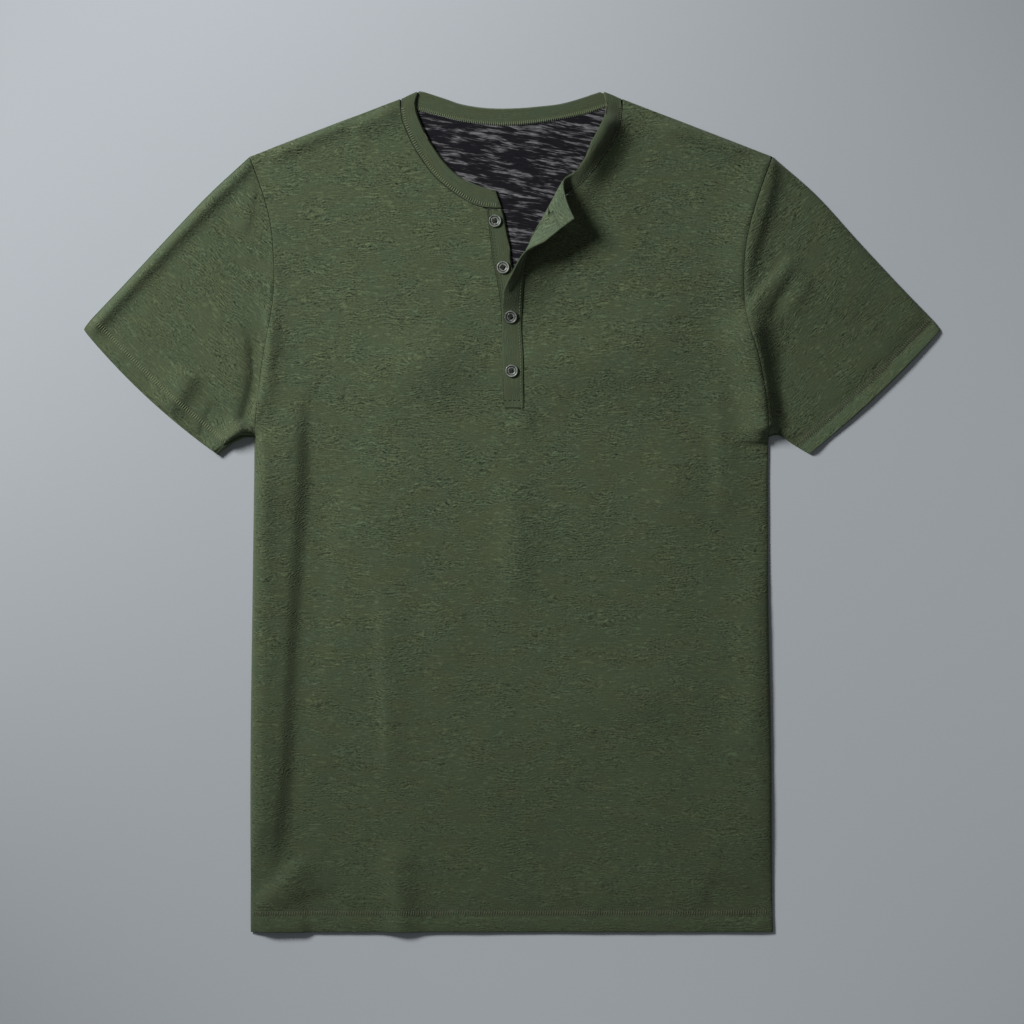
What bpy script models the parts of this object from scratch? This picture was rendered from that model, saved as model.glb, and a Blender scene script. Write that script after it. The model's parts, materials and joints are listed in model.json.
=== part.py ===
"""Short-sleeved henley shirt laid flat on its back, with the placket open at the top.

Frame: origin on the floor under the middle of the shirt, +X to the wearer's left, +Y to the
neck, +Z up. Sizes are in millimetres and become metres when a mesh is made.
"""
import math
from collections import namedtuple

import bmesh
import bpy
import numpy as np
from mathutils import Vector, geometry

MM = 0.001

# Cloth
CLOTH = 1.0
HEM_EXTRA = 0.6
HEM_DEPTH = 17.0
SEAM_GAP = 0.35

# Levels of the middle of each layer above the floor
BACK_MID = 0.5
FRONT_MID = 3.2
FRONT_EDGE_MID = 1.9
EDGE_ROLL = 8.0

# Neckband and placket strips
BAND_THICK = 1.5
BAND_MID = 3.45
BAND_BACK_MID = 0.78
UNDER_THICK = 1.3
UNDER_MID = 2.95
OVER_THICK = 1.4
OVER_MID = 4.65

# Buttons
BUTTON_RADIUS = 5.75
BUTTON_THICK = 2.4
BUTTON_HOLE_RADIUS = 0.65
BUTTON_HOLE_PITCH = 1.25
BUTTON_SEAT_GAP = 0.3

# Mesh steps
PANEL_STEP = 27.0
BACK_STEP = 60.0
EDGE_STEP = 22.0

Point = namedtuple("Point", "x y")
Side = namedtuple("Side", "y left right")
Strip = namedtuple("Strip", "y free seam")
Section = namedtuple("Section", "free_x free_y seam_x seam_y")
Fold = namedtuple("Fold", "x0 y0 x1 y1 height width")
Turn = namedtuple("Turn", "along angle")
Button = namedtuple("Button", "name x y seat tilt")

# Side seams from the hem to the armpit
SIDES = (
    Side(-369.3, -229.6, 229.6),
    Side(-341.0, -229.6, 228.8),
    Side(-209.0, -229.6, 227.9),
    Side(-77.0, -227.9, 225.3),
    Side(30.0, -226.4, 224.6),
    Side(66.0, -226.2, 225.3),
)

# Armhole seams from the armpit to the shoulder point
ARMHOLES = (
    Side(66.0, -226.2, 225.3),
    Side(98.6, -223.3, 223.1),
    Side(133.8, -219.3, 216.9),
    Side(169.0, -212.5, 206.4),
    Side(200.6, -209.1, 203.8),
    Side(230.6, -209.8, 204.9),
    Side(257.0, -212.8, 210.1),
    Side(283.4, -220.0, 218.2),
    Side(312.4, -230.6, 228.6),
)

# Sleeve edges, each from the body outwards
RIGHT_SLEEVE_TOP = (Point(-230.6, 312.4), Point(-266.6, 279.0), Point(-304.5, 239.4),
                    Point(-341.4, 199.8), Point(-371.4, 168.1), Point(-376.6, 160.2))
RIGHT_SLEEVE_UNDER = (Point(-226.2, 66.0), Point(-235.8, 67.3), Point(-247.0, 60.5), Point(-258.7, 50.2))
LEFT_SLEEVE_TOP = (Point(228.6, 312.4), Point(266.6, 279.0), Point(302.7, 239.4),
                   Point(339.7, 199.8), Point(371.4, 167.0), Point(376.6, 159.3))
LEFT_SLEEVE_UNDER = (Point(225.3, 66.0), Point(234.1, 67.8), Point(247.0, 59.5), Point(261.4, 51.0))
CUFF_BOW = 3.0

# Neckband: free edge and seam edge, from the button end up the wearer's right side
BAND_RIGHT = (
    Section(-14.3, 283.0, -9.1, 267.1),
    Section(-22.9, 284.9, -26.4, 268.4),
    Section(-33.4, 288.6, -39.6, 273.7),
    Section(-46.8, 295.7, -55.4, 284.2),
    Section(-58.1, 306.7, -68.6, 296.1),
    Section(-66.4, 317.7, -78.3, 308.9),
    Section(-73.9, 329.5, -86.7, 322.1),
    Section(-79.6, 341.4, -92.8, 335.3),
    Section(-83.3, 351.1, -96.4, 345.0),
    Section(-84.8, 359.9, -97.7, 353.8),
)
# along the back, from the wearer's right to the left
BAND_BACK = (
    Section(-81.4, 370.3, -91.5, 358.2),
    Section(-77.4, 369.6, -84.0, 354.2),
    Section(-71.3, 367.7, -75.7, 352.2),
    Section(-58.5, 363.6, -62.5, 348.9),
    Section(-44.9, 359.0, -48.4, 345.1),
    Section(-27.3, 356.0, -29.0, 342.1),
    Section(-10.6, 355.1, -10.6, 340.6),
    Section(7.0, 355.5, 7.9, 341.4),
    Section(24.6, 357.0, 26.4, 343.6),
    Section(41.4, 359.0, 44.4, 346.7),
    Section(57.2, 363.0, 61.6, 350.2),
    Section(70.4, 367.4, 75.7, 354.6),
    Section(77.4, 369.6, 86.2, 358.2),
)
# and down the wearer's left side to the buttonhole end, as it would lie unturned
BAND_LEFT = (
    Section(82.3, 359.9, 96.8, 353.8),
    Section(81.4, 349.4, 95.0, 342.3),
    Section(77.4, 338.8, 90.6, 330.0),
    Section(71.7, 327.8, 83.6, 317.7),
    Section(65.6, 317.7, 76.6, 307.1),
    Section(58.5, 307.6, 68.6, 296.6),
    Section(50.6, 298.8, 58.5, 286.0),
    Section(41.4, 293.5, 47.1, 277.6),
    Section(29.9, 288.6, 33.9, 271.0),
    Section(16.7, 285.1, 18.5, 267.5),
    Section(3.5, 283.8, 2.0, 266.6),
)
# Where the band folds over the shoulders, and the way in from each fold
SHOULDER_RIGHT = (0.38, -0.92)
SHOULDER_LEFT = (-0.38, -0.92)
NECK_RIGHT = Section(-83.6, 369.6, -97.7, 363.4)
NECK_LEFT = Section(81.0, 369.6, 96.4, 363.4)

# Placket strips from the foot to the top
UNDER_STRIP = (
    Strip(92.6, 8.4, -6.6),
    Strip(147.0, 7.5, -7.9),
    Strip(182.2, 6.2, -9.7),
    Strip(199.8, 4.0, -12.1),
    Strip(220.0, -0.3, -16.3),
    Strip(235.0, -1.9, -18.2),
    Strip(248.2, -4.4, -19.6),
    Strip(260.0, -6.7, -20.9),
    Strip(266.2, -8.7, -21.6),
)
OVER_STRIP = (
    Strip(92.6, -6.7, 10.3),
    Strip(116.2, -7.5, 9.9),
    Strip(139.0, -8.4, 9.6),
    Strip(161.9, -8.9, 8.2),
    Strip(182.2, -8.5, 8.8),
    Strip(195.4, -7.9, 9.5),
    Strip(213.0, -6.3, 10.8),
    Strip(226.2, -4.4, 12.8),
    Strip(237.6, -2.6, 14.5),
    Strip(251.7, -0.4, 17.2),
    Strip(265.6, 1.6, 20.2),
)

# Turned-back corner: the crest runs along a line, and the cloth left of it turns over
TURN_FOOT = Point(-8.8, 192.7)
TURN_HEAD = Point(51.0, 300.1)
TURN_RADIUS = 6.2
TURN = (
    Turn(0.0, 0.0),
    Turn(10.5, 30.0),
    Turn(19.5, 60.0),
    Turn(31.0, 84.0),
    Turn(42.0, 98.0),
    Turn(48.5, 116.0),
    Turn(55.5, 140.0),
    Turn(66.0, 152.0),
    Turn(85.5, 160.0),
    Turn(105.0, 168.0),
    Turn(122.0, 172.0),
    Turn(131.0, 90.0),
    Turn(140.0, 30.0),
    Turn(150.0, 0.0),
)

# Folds: a straight crest or trough, its height and its half width
FOLDS = (
    Fold(-204.0, 60.0, -203.0, -290.0, 1.1, 8.0),
    Fold(-190.5, 66.0, -191.5, -300.0, -1.0, 8.0),
    Fold(-166.0, 60.0, -163.0, -95.0, 1.2, 17.0),
    Fold(-116.0, -60.0, -115.0, -290.0, 1.7, 8.5),
    Fold(-101.0, -70.0, -99.0, -290.0, -0.8, 7.0),
    Fold(-104.0, -306.0, -102.0, -372.0, 1.7, 9.0),
    Fold(-226.0, -346.0, -187.0, -306.0, 1.7, 8.0),
    Fold(-6.0, 28.0, -6.0, -60.0, 0.8, 20.0),
    Fold(-110.0, 165.0, -60.0, 155.0, 0.9, 32.0),
    Fold(40.0, 160.0, 80.0, 162.0, 0.9, 32.0),
    Fold(-168.0, 120.0, -12.0, 122.0, -0.6, 10.0),
    Fold(80.0, 121.0, 200.0, 118.0, -0.6, 10.0),
    Fold(197.0, -50.0, 196.0, -230.0, 1.3, 13.0),
    Fold(174.0, 12.0, 174.0, -44.0, -0.8, 9.0),
    Fold(179.0, 118.0, 178.0, 70.0, 1.0, 12.0),
    Fold(214.0, 178.0, 245.0, 218.0, 2.0, 10.0),
    Fold(222.0, 296.0, 213.0, 250.0, -0.9, 8.0),
    Fold(252.0, 208.0, 258.0, 180.0, 1.2, 9.0),
    Fold(-220.0, 152.0, -226.0, 190.0, 1.7, 9.0),
    Fold(-238.0, 112.0, -234.0, 90.0, -0.9, 7.0),
    Fold(-306.0, 118.0, -290.0, 140.0, 1.3, 13.0),
    Fold(-270.0, 76.0, -258.0, 96.0, 1.3, 11.0),
    Fold(330.0, 150.0, 300.0, 185.0, 1.2, 14.0),
)

BUTTONS = (
    Button("button_1", -15.0, 255.9, UNDER_MID + UNDER_THICK / 2, 0.3),
    Button("button_2", -7.9, 215.0, UNDER_MID + UNDER_THICK / 2, 1.0),
    Button("button_3", -1.1, 171.0, OVER_MID + OVER_THICK / 2, 0.6),
    Button("button_4", -0.3, 123.9, OVER_MID + OVER_THICK / 2, 0.1),
)

GREEN = (0.062, 0.080, 0.041)
GREEN_BAND = (0.066, 0.085, 0.044)
MARL = (0.028, 0.029, 0.032)
BUTTON_GREY = (0.050, 0.052, 0.055)


def smooth_curve(points, step):
    """Catmull-Rom curve through points, cut into pieces of about the given length."""
    p = np.array(points, float)
    ext = np.vstack([2 * p[0] - p[1], p, 2 * p[-1] - p[-2]])
    out = []
    for i in range(len(p) - 1):
        a, b, c, d = ext[i:i + 4]
        count = max(1, round(float(np.linalg.norm(c[:2] - b[:2])) / step))
        for k in range(count):
            t = k / count
            out.append(0.5 * (2 * b + (c - a) * t + (2 * a - 5 * b + 4 * c - d) * t * t
                              + (3 * b - a - 3 * c + d) * t ** 3))
    out.append(p[-1])
    return np.array(out)


def offset_curve(points, distance):
    """Move a run of points to the left of its direction by a distance."""
    p = np.asarray(points, float)
    d = np.gradient(p, axis=0)
    d /= np.linalg.norm(d, axis=1)[:, None]
    return p + distance * np.column_stack([-d[:, 1], d[:, 0]])


def column(rows, name):
    """One column of a table with the row's height, as points."""
    return [(getattr(r, name), r.y) for r in rows]


def segment_distance(xy, a, b):
    """Distance of each point from a segment, and how far along it the nearest spot is."""
    a, b = np.asarray(a, float), np.asarray(b, float)
    ab = b - a
    t = np.clip(((xy - a) @ ab) / (ab @ ab), 0.0, 1.0)
    return np.linalg.norm(xy - (a + t[:, None] * ab), axis=1), t


def path_distance(xy, path):
    """Distance of each point from a run of segments."""
    best = np.full(len(xy), 1e9)
    for a, b in zip(path[:-1], path[1:]):
        best = np.minimum(best, segment_distance(xy, a, b)[0])
    return best


def inside(xy, loop):
    """Which points lie inside a closed loop."""
    x, y = xy[:, 0], xy[:, 1]
    result = np.zeros(len(xy), bool)
    for (ax, ay), (bx, by) in zip(loop, np.roll(loop, -1, axis=0)):
        crosses = (ay > y) != (by > y)
        dy = by - ay if by != ay else 1e-12
        result ^= crosses & (x < (bx - ax) * (y - ay) / dy + ax)
    return result


def folded_edges():
    """Runs of the outline where the cloth rolls over: shoulders, sleeves and sides."""
    right = [p for p in RIGHT_SLEEVE_TOP[::-1]] + [Point(NECK_RIGHT.free_x, NECK_RIGHT.free_y)]
    left = [p for p in LEFT_SLEEVE_TOP[::-1]] + [Point(NECK_LEFT.free_x, NECK_LEFT.free_y)]
    under_right = [p for p in RIGHT_SLEEVE_UNDER[::-1]] + column(SIDES[::-1], "left")[1:]
    under_left = [p for p in LEFT_SLEEVE_UNDER[::-1]] + column(SIDES[::-1], "right")[1:]
    return [np.array(run, float) for run in (right, left, under_right, under_left)]


ROLLED = folded_edges()


def edge_factor(xy):
    """Nought at a folded edge, rising round a quarter turn to one."""
    d = np.minimum.reduce([path_distance(xy, run) for run in ROLLED])
    k = 1.0 - np.clip(d / EDGE_ROLL, 0.0, 1.0)
    return np.sqrt(np.clip(1.0 - k * k, 0.0, 1.0))


def fold_height(xy):
    """Sum of the folds at each point."""
    z = np.zeros(len(xy))
    for f in FOLDS:
        d, t = segment_distance(xy, (f.x0, f.y0), (f.x1, f.y1))
        along = np.sin(np.pi * np.clip(0.08 + 0.84 * t, 0.0, 1.0)) ** 0.6
        z += f.height * np.exp(-(d / f.width) ** 2) * along
    return z


def upper_level(xy):
    """Middle of the upper layer over the whole shirt."""
    rise = FRONT_MID - FRONT_EDGE_MID + fold_height(xy)
    return np.maximum(FRONT_EDGE_MID + rise * edge_factor(xy), FRONT_EDGE_MID)


def turn_corner(points):
    """Roll the points beyond the start of the turned-back corner up and over."""
    foot, head = np.array(TURN_FOOT), np.array(TURN_HEAD)
    axis = (head - foot) / np.linalg.norm(head - foot)
    side = np.array([axis[1], -axis[0]])
    start = foot + side * TURN_RADIUS
    rel = points[:, :2] - start
    beyond = -(rel @ side)
    along = rel @ axis
    limit = np.radians(np.interp(along, [t.along for t in TURN], [t.angle for t in TURN]))
    angle = np.minimum(np.maximum(beyond, 0.0) / TURN_RADIUS, limit)
    rest = np.maximum(beyond - angle * TURN_RADIUS, 0.0)
    level = points[:, 2] - FRONT_MID
    reach = TURN_RADIUS * np.sin(angle) + rest * np.cos(angle) - level * np.sin(angle)
    rise = TURN_RADIUS * (1.0 - np.cos(angle)) + rest * np.sin(angle) + level * np.cos(angle)
    turned = (beyond > 0.0) & (limit > 0.0)
    flat = start + along[:, None] * axis - side * reach[:, None]
    out = points.copy()
    out[turned, :2] = flat[turned]
    out[turned, 2] = FRONT_MID + rise[turned]
    return out


def triangulate(loop, runs, step):
    """Triangles inside a loop, with extra runs of points kept as rows."""
    loop = np.asarray(loop, float)
    low, high = loop.min(axis=0), loop.max(axis=0)
    nx = int((high[0] - low[0]) / step) + 1
    ny = int((high[1] - low[1]) / step) + 1
    gx, gy = np.meshgrid(np.linspace(low[0], high[0], nx + 1), np.linspace(low[1], high[1], ny + 1))
    grid = np.column_stack([gx.ravel(), gy.ravel()])
    grid = grid[inside(grid, loop)]
    keep = path_distance(grid, np.vstack([loop, loop[:1]])) > 0.42 * step
    for run in runs:
        keep &= path_distance(grid, run) > 0.42 * step
    verts = [tuple(p) for p in loop]
    edges = [(i, (i + 1) % len(loop)) for i in range(len(loop))]
    for run in runs:
        first = len(verts)
        verts += [tuple(p) for p in run]
        edges += [(first + i, first + i + 1) for i in range(len(run) - 1)]
    verts += [tuple(p) for p in grid[keep]]
    made = geometry.delaunay_2d_cdt([Vector(v) for v in verts], edges, [], 1, 0.001)
    xy = np.array([(v.x, v.y) for v in made[0]])
    tris = np.array([f for f in made[2]], int)
    tris = tris[inside(xy[tris].mean(axis=1), loop)]
    a, b, c = xy[tris[:, 0]], xy[tris[:, 1]], xy[tris[:, 2]]
    area = (b - a)[:, 0] * (c - a)[:, 1] - (b - a)[:, 1] * (c - a)[:, 0]
    tris[area < 0] = tris[area < 0][:, ::-1]
    return xy, tris


def vertex_normals(points, tris):
    """Area-weighted normals of a mesh of triangles."""
    n = np.zeros_like(points)
    a, b, c = points[tris[:, 0]], points[tris[:, 1]], points[tris[:, 2]]
    f = np.cross(b - a, c - a)
    for k in range(3):
        np.add.at(n, tris[:, k], f)
    return n / np.linalg.norm(n, axis=1)[:, None]


def thicken(points, tris, above, below):
    """Closed shell round a middle surface, with a rim wherever the surface ends."""
    n = vertex_normals(points, tris)
    count = len(points)
    above = np.broadcast_to(np.asarray(above, float), (count,))
    below = np.broadcast_to(np.asarray(below, float), (count,))
    verts = np.vstack([points + n * above[:, None], points - n * below[:, None]])
    faces = [tuple(t) for t in tris] + [tuple(int(v) + count for v in t[::-1]) for t in tris]
    used = set()
    for t in tris:
        for k in range(3):
            used.add((int(t[k]), int(t[(k + 1) % 3])))
    for a, b in sorted(used):
        if (b, a) not in used:
            faces.append((b, a, a + count))
            faces.append((b, a + count, b + count))
    return verts, faces


def grid_triangles(rows, cols, wrap):
    """Triangles of a grid of points; wrap joins the last column to the first."""
    tris = []
    for r in range(rows - 1):
        for c in range(cols if wrap else cols - 1):
            d = (c + 1) % cols
            a, b = r * cols + c, r * cols + d
            e, f = a + cols, b + cols
            tris += [(a, b, f), (a, f, e)]
    return np.array(tris, int)


def make_material(name, colour, roughness):
    """Plain Principled material."""
    mat = bpy.data.materials.new(name)
    mat.use_nodes = True
    bsdf = mat.node_tree.nodes["Principled BSDF"]
    bsdf.inputs["Base Color"].default_value = (*colour, 1.0)
    bsdf.inputs["Roughness"].default_value = roughness
    bsdf.inputs["Metallic"].default_value = 0.0
    return mat


def make_object(name, verts, faces, mat):
    """Mesh object from points in millimetres, with outward faces and smooth shading."""
    mesh = bpy.data.meshes.new(name)
    mesh.from_pydata([tuple(v) for v in np.asarray(verts) * MM], [], faces)
    bm = bmesh.new()
    bm.from_mesh(mesh)
    bmesh.ops.recalc_face_normals(bm, faces=bm.faces)
    bm.to_mesh(mesh)
    bm.free()
    for poly in mesh.polygons:
        poly.use_smooth = True
    mesh.materials.append(mat)
    obj = bpy.data.objects.new(name, mesh)
    bpy.context.collection.objects.link(obj)
    return obj


def body_sides():
    """Side, armhole and shoulder of both halves, from the hem up."""
    runs = {}
    for name, neck, out in (("left", NECK_RIGHT, -1.0), ("right", NECK_LEFT, 1.0)):
        side = smooth_curve(column(SIDES, name), EDGE_STEP)
        arm = smooth_curve(column(ARMHOLES, name), EDGE_STEP)
        end = (neck.seam_x + out * 0.95, neck.seam_y - 0.4)
        top = smooth_curve([column(ARMHOLES, name)[-1], end], EDGE_STEP)
        runs[name] = np.vstack([side[:-1], arm[:-1], top])
    return runs["left"], runs["right"]


def band_rows(sections):
    """Rows of the neckband between its tabled sections."""
    return smooth_curve([tuple(s) for s in sections], 6.5)


def front_loop():
    """Outline of the front, with the neckline and the placket slot."""
    left, right = body_sides()
    hem = np.column_stack([np.linspace(left[0][0], right[0][0], 26)[1:-1], np.full(24, left[0][1])])
    neck_right = band_rows(BAND_RIGHT)[:, 2:4]
    neck_left = band_rows(BAND_LEFT)[:, 2:4]
    slot_left = smooth_curve(column(UNDER_STRIP, "seam"), 9.0)
    slot_right = smooth_curve(column(OVER_STRIP, "seam"), 4.5)
    neck_right = offset_curve(neck_right, SEAM_GAP)
    neck_left = offset_curve(neck_left, SEAM_GAP)
    neck_right = neck_right[neck_right[:, 0] < slot_left[-1][0] - 2.0]
    neck_left = neck_left[neck_left[:, 0] > slot_right[-1][0] + 2.0]
    slot_left = slot_left - (SEAM_GAP, 0.0)
    slot_right = slot_right + (SEAM_GAP, 0.0)
    foot = OVER_STRIP[0].y - SEAM_GAP
    slot_left[0][1] = slot_right[0][1] = foot
    return np.vstack([left[:1], hem, right, neck_left, slot_right[::-1], slot_left,
                      neck_right, left[:0:-1]])


def inner_rows(loop, distances):
    """Rows of points just inside the folded edges, to carry their curve."""
    rows = []
    for run in ROLLED:
        pts = smooth_curve(run, EDGE_STEP)
        for d in distances:
            for sign in (1.0, -1.0):
                row = offset_curve(pts, sign * d)
                ok = inside(row, loop) & (path_distance(row, np.vstack([loop, loop[:1]])) > 0.7 * d)
                ok &= path_distance(row, run) > 0.95 * d
                for part in np.split(np.arange(len(row)), np.where(~ok)[0]):
                    part = [i for i in part if ok[i]]
                    if len(part) > 2:
                        rows.append(row[part])
    return rows


def fold_rows(loop, clear):
    """Rows of points along each fold's crest and flanks, clear of the outline."""
    rows = []
    ring = np.vstack([loop, loop[:1]])
    for f in FOLDS:
        a, b = np.array((f.x0, f.y0)), np.array((f.x1, f.y1))
        side = np.array([-(b - a)[1], (b - a)[0]]) / np.linalg.norm(b - a)
        count = max(3, int(np.linalg.norm(b - a) / 26.0) + 1)
        line = a + np.linspace(0.04, 0.96, count)[:, None] * (b - a)
        for k in (-1.3, 0.0, 1.3):
            row = line + k * f.width * side
            ok = inside(row, loop) & (path_distance(row, ring) > clear)
            for other in rows:
                ok &= path_distance(row, other) > 5.0
            if ok.all():
                rows.append(row)
    return rows


def corner_rows(loop):
    """Rows of points along the turned-back corner of the front."""
    foot, head = np.array(TURN_FOOT), np.array(TURN_HEAD)
    axis = (head - foot) / np.linalg.norm(head - foot)
    side = np.array([axis[1], -axis[0]])
    rows = []
    for k in range(-1, 6):
        start = foot + side * (TURN_RADIUS - 2.7 * k)
        row = start + np.linspace(0.0, 150.0, 43)[:, None] * axis
        ok = inside(row, loop) & (path_distance(row, np.vstack([loop, loop[:1]])) > 1.4)
        ok &= (row[:, 0] > 0.0) & (row[:, 1] < 285.0)
        row = row[ok]
        if len(row) > 1:
            rows.append(row)
    return rows


def hem_weight(xy):
    """One on the turned-up hem, nought above it."""
    return np.clip((SIDES[0].y + HEM_DEPTH + 0.5 - xy[:, 1]) / 1.0, 0.0, 1.0)


def hem_rows():
    """Two rows of points where the turned-up hem begins."""
    rows = []
    for above in (HEM_DEPTH - 0.5, HEM_DEPTH + 0.5):
        x = np.linspace(SIDES[0].left + 14.0, SIDES[0].right - 14.0, 18)
        rows.append(np.column_stack([x, np.full(len(x), SIDES[0].y + above)]))
    return rows


def make_front(mat):
    """Front panel with its folds and the little corner that turns back with the placket."""
    loop = front_loop()
    rows = corner_rows(loop) + hem_rows()
    rows += [r for r in inner_rows(loop, (1.6, 4.6)) if len(r) > 2]
    ring = [r for r in rows]
    for row in fold_rows(loop, 8.0):
        if all(path_distance(row, other).min() > 4.0 for other in ring):
            rows.append(row)
    xy, tris = triangulate(loop, rows, PANEL_STEP)
    z = upper_level(xy)
    points = np.column_stack([xy, z])
    corner = xy[:, 0] > -4.0
    points[corner] = turn_corner(points[corner])
    below = CLOTH / 2 + HEM_EXTRA * hem_weight(xy) * edge_factor(xy)
    verts, faces = thicken(points, tris, CLOTH / 2, below)
    return make_object("front", verts, faces, mat)


def make_back(mat):
    """Back panel, flat on the floor, its hem turned up inside."""
    left, right = body_sides()
    y = np.maximum(left[:, 1], SIDES[0].y + 1.5)
    left, right = np.column_stack([left[:, 0] + 0.2, y]), np.column_stack([right[:, 0] - 0.2, y])
    hem = np.column_stack([np.linspace(left[0][0], right[0][0], 20)[1:-1], np.full(18, left[0][1])])
    seams = [hairpin(NECK_RIGHT, SHOULDER_RIGHT, BAND_MID, BAND_BACK_MID)[-1][2:4]]
    seams += [tuple(row[2:4]) for row in band_rows(BAND_BACK)]
    seams += [hairpin(NECK_LEFT, SHOULDER_LEFT, BAND_MID, BAND_BACK_MID)[-1][2:4]]
    nape = offset_curve(seams, -SEAM_GAP - 0.1)
    loop = np.vstack([left[:1], hem, right, nape[::-1], left[:0:-1]])
    xy, tris = triangulate(loop, hem_rows(), BACK_STEP)
    points = np.column_stack([xy, np.full(len(xy), BACK_MID)])
    above = CLOTH / 2 + HEM_EXTRA * hem_weight(xy) * edge_factor(xy)
    verts, faces = thicken(points, tris, above, CLOTH / 2)
    return make_object("back", verts, faces, mat)


def along_path(points, fractions):
    """Points at fractions of a path's length."""
    p = np.asarray(points, float)
    length = np.concatenate([[0.0], np.cumsum(np.linalg.norm(np.diff(p, axis=0), axis=1))])
    s = np.asarray(fractions) * length[-1]
    return np.column_stack([np.interp(s, length, p[:, 0]), np.interp(s, length, p[:, 1])])


def step_in(end, towards):
    """Three points just in from the end of a run, where the cloth rolls over."""
    way = (towards - end) / np.linalg.norm(towards - end)
    return np.array([end + way * d for d in (1.5, 4.0, 9.0)])


def make_sleeve(name, armhole, top, under, outward, mat):
    """Flattened tube from the armhole to the cuff: one ring of points a section."""
    sections = np.array([0.0, 0.05, 0.14, 0.25, 0.37, 0.5, 0.62, 0.74, 0.86, 0.915, 0.93, 1.0])
    arm = smooth_curve(armhole, EDGE_STEP)[::-1]
    arm = np.vstack([arm[:1], step_in(arm[0], arm[1]), arm[1:-1], step_in(arm[-1], arm[-2])[::-1], arm[-1:]])
    length = np.concatenate([[0.0], np.cumsum(np.linalg.norm(np.diff(arm, axis=0), axis=1))])
    across = length / length[-1]
    arm = arm + np.array([outward * (SEAM_GAP + 0.2), 0.0])
    tops = along_path(smooth_curve(top, 6.0), sections)
    unders = along_path(smooth_curve(under, 4.0), sections)
    chord0 = arm[0] + across[:, None] * (arm[-1] - arm[0])
    end = unders[-1] - tops[-1]
    bow = np.array([end[1], -end[0]]) / np.linalg.norm(end) * -outward * CUFF_BOW
    rings = []
    weights = []
    for s, a, b in zip(sections, tops, unders):
        a = a + np.array([outward * (SEAM_GAP + 0.2), 0.0]) * (1.0 - s)
        b = b + np.array([outward * (SEAM_GAP + 0.2), 0.0]) * (1.0 - s)
        run = a + across[:, None] * (b - a) + (1.0 - s) ** 2 * (arm - chord0)
        run += s ** 2 * np.sin(np.pi * across)[:, None] * bow
        lean = (b - a) / np.linalg.norm(b - a)
        run[0] += lean * CLOTH / 2
        run[-1] -= lean * CLOTH / 2
        level = upper_level(run)
        level[0] = level[-1] = 1.6
        upper = np.column_stack([run, level])
        lower = np.column_stack([run[-2:0:-1], np.full(len(run) - 2, BACK_MID)])
        rings.append(np.vstack([upper, lower]))
        weights.append(np.full(len(rings[-1]), 1.0 if s > 0.92 else 0.0))
    cols = len(rings[0])
    tris = grid_triangles(len(rings), cols, True)
    if outward > 0:
        tris = tris[:, ::-1]
    points = np.vstack(rings)
    verts, faces = thicken(points, tris, CLOTH / 2, CLOTH / 2 + 0.35 * np.concatenate(weights))
    verts[:, 2] = np.maximum(verts[:, 2], 0.0)
    return make_object(name, verts, faces, mat)


def ribbon(rows, cross, turn):
    """Grid of points across a strip given its two edges row by row, with levels."""
    points = []
    for row in rows:
        a, b = np.array(row[0:2]), np.array(row[2:4])
        for c in cross:
            points.append((*(a + c * (b - a)), row[4]))
    points = np.array(points)
    return turn_corner(points) if turn else points


def hairpin(neck, inward, z_top, z_low):
    """Rows that carry the neckband over the shoulder fold, from the upper to the lower level."""
    radius = (z_top - z_low) / 2
    rows = []
    for k in (1, 2, 3):
        angle = math.pi * k / 4 - math.pi / 2
        back = radius * (1.0 - math.cos(angle)) + BAND_THICK / 2
        mid = (z_top + z_low) / 2 - radius * math.sin(angle)
        rows.append((neck.free_x + inward[0] * back, neck.free_y + inward[1] * back,
                     neck.seam_x + inward[0] * back, neck.seam_y + inward[1] * back, mid))
    return rows


def make_neckband(mat):
    """Folded band round the whole neck, over both shoulder folds and into the turned corner."""
    right = [(*r, BAND_MID) for r in band_rows(BAND_RIGHT)]
    back = [(*r, BAND_BACK_MID) for r in band_rows(BAND_BACK)]
    left = [(*r, BAND_MID) for r in smooth_curve([tuple(s) for s in BAND_LEFT], 4.0)]
    rows = right + hairpin(NECK_RIGHT, SHOULDER_RIGHT, BAND_MID, BAND_BACK_MID) + back
    rows += hairpin(NECK_LEFT, SHOULDER_LEFT, BAND_MID, BAND_BACK_MID)[::-1] + left
    cross = (0.0, 0.25, 0.5, 0.75, 1.0)
    head = len(right) + len(back) + 6
    first = ribbon(rows[:head], cross, False)
    last = ribbon(rows[head:], cross, True)
    tris = grid_triangles(len(rows), len(cross), False)
    verts, faces = thicken(np.vstack([first, last]), tris, BAND_THICK / 2, BAND_THICK / 2)
    verts[:, 2] = np.maximum(verts[:, 2], 0.0)
    return make_object("neckband", verts, faces, mat)


def make_strip(name, rows, level, thick, step, turn, mat):
    """One placket strip from its tabled edges."""
    table = [(r.free, r.y, r.seam, r.y) for r in rows]
    made = [(*r, level) for r in smooth_curve(table, step)]
    cross = (0.0, 0.25, 0.5, 0.75, 1.0)
    points = ribbon(made, cross, turn)
    tris = grid_triangles(len(made), len(cross), False)
    verts, faces = thicken(points, tris, thick / 2, thick / 2)
    return make_object(name, verts, faces, mat)


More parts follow.
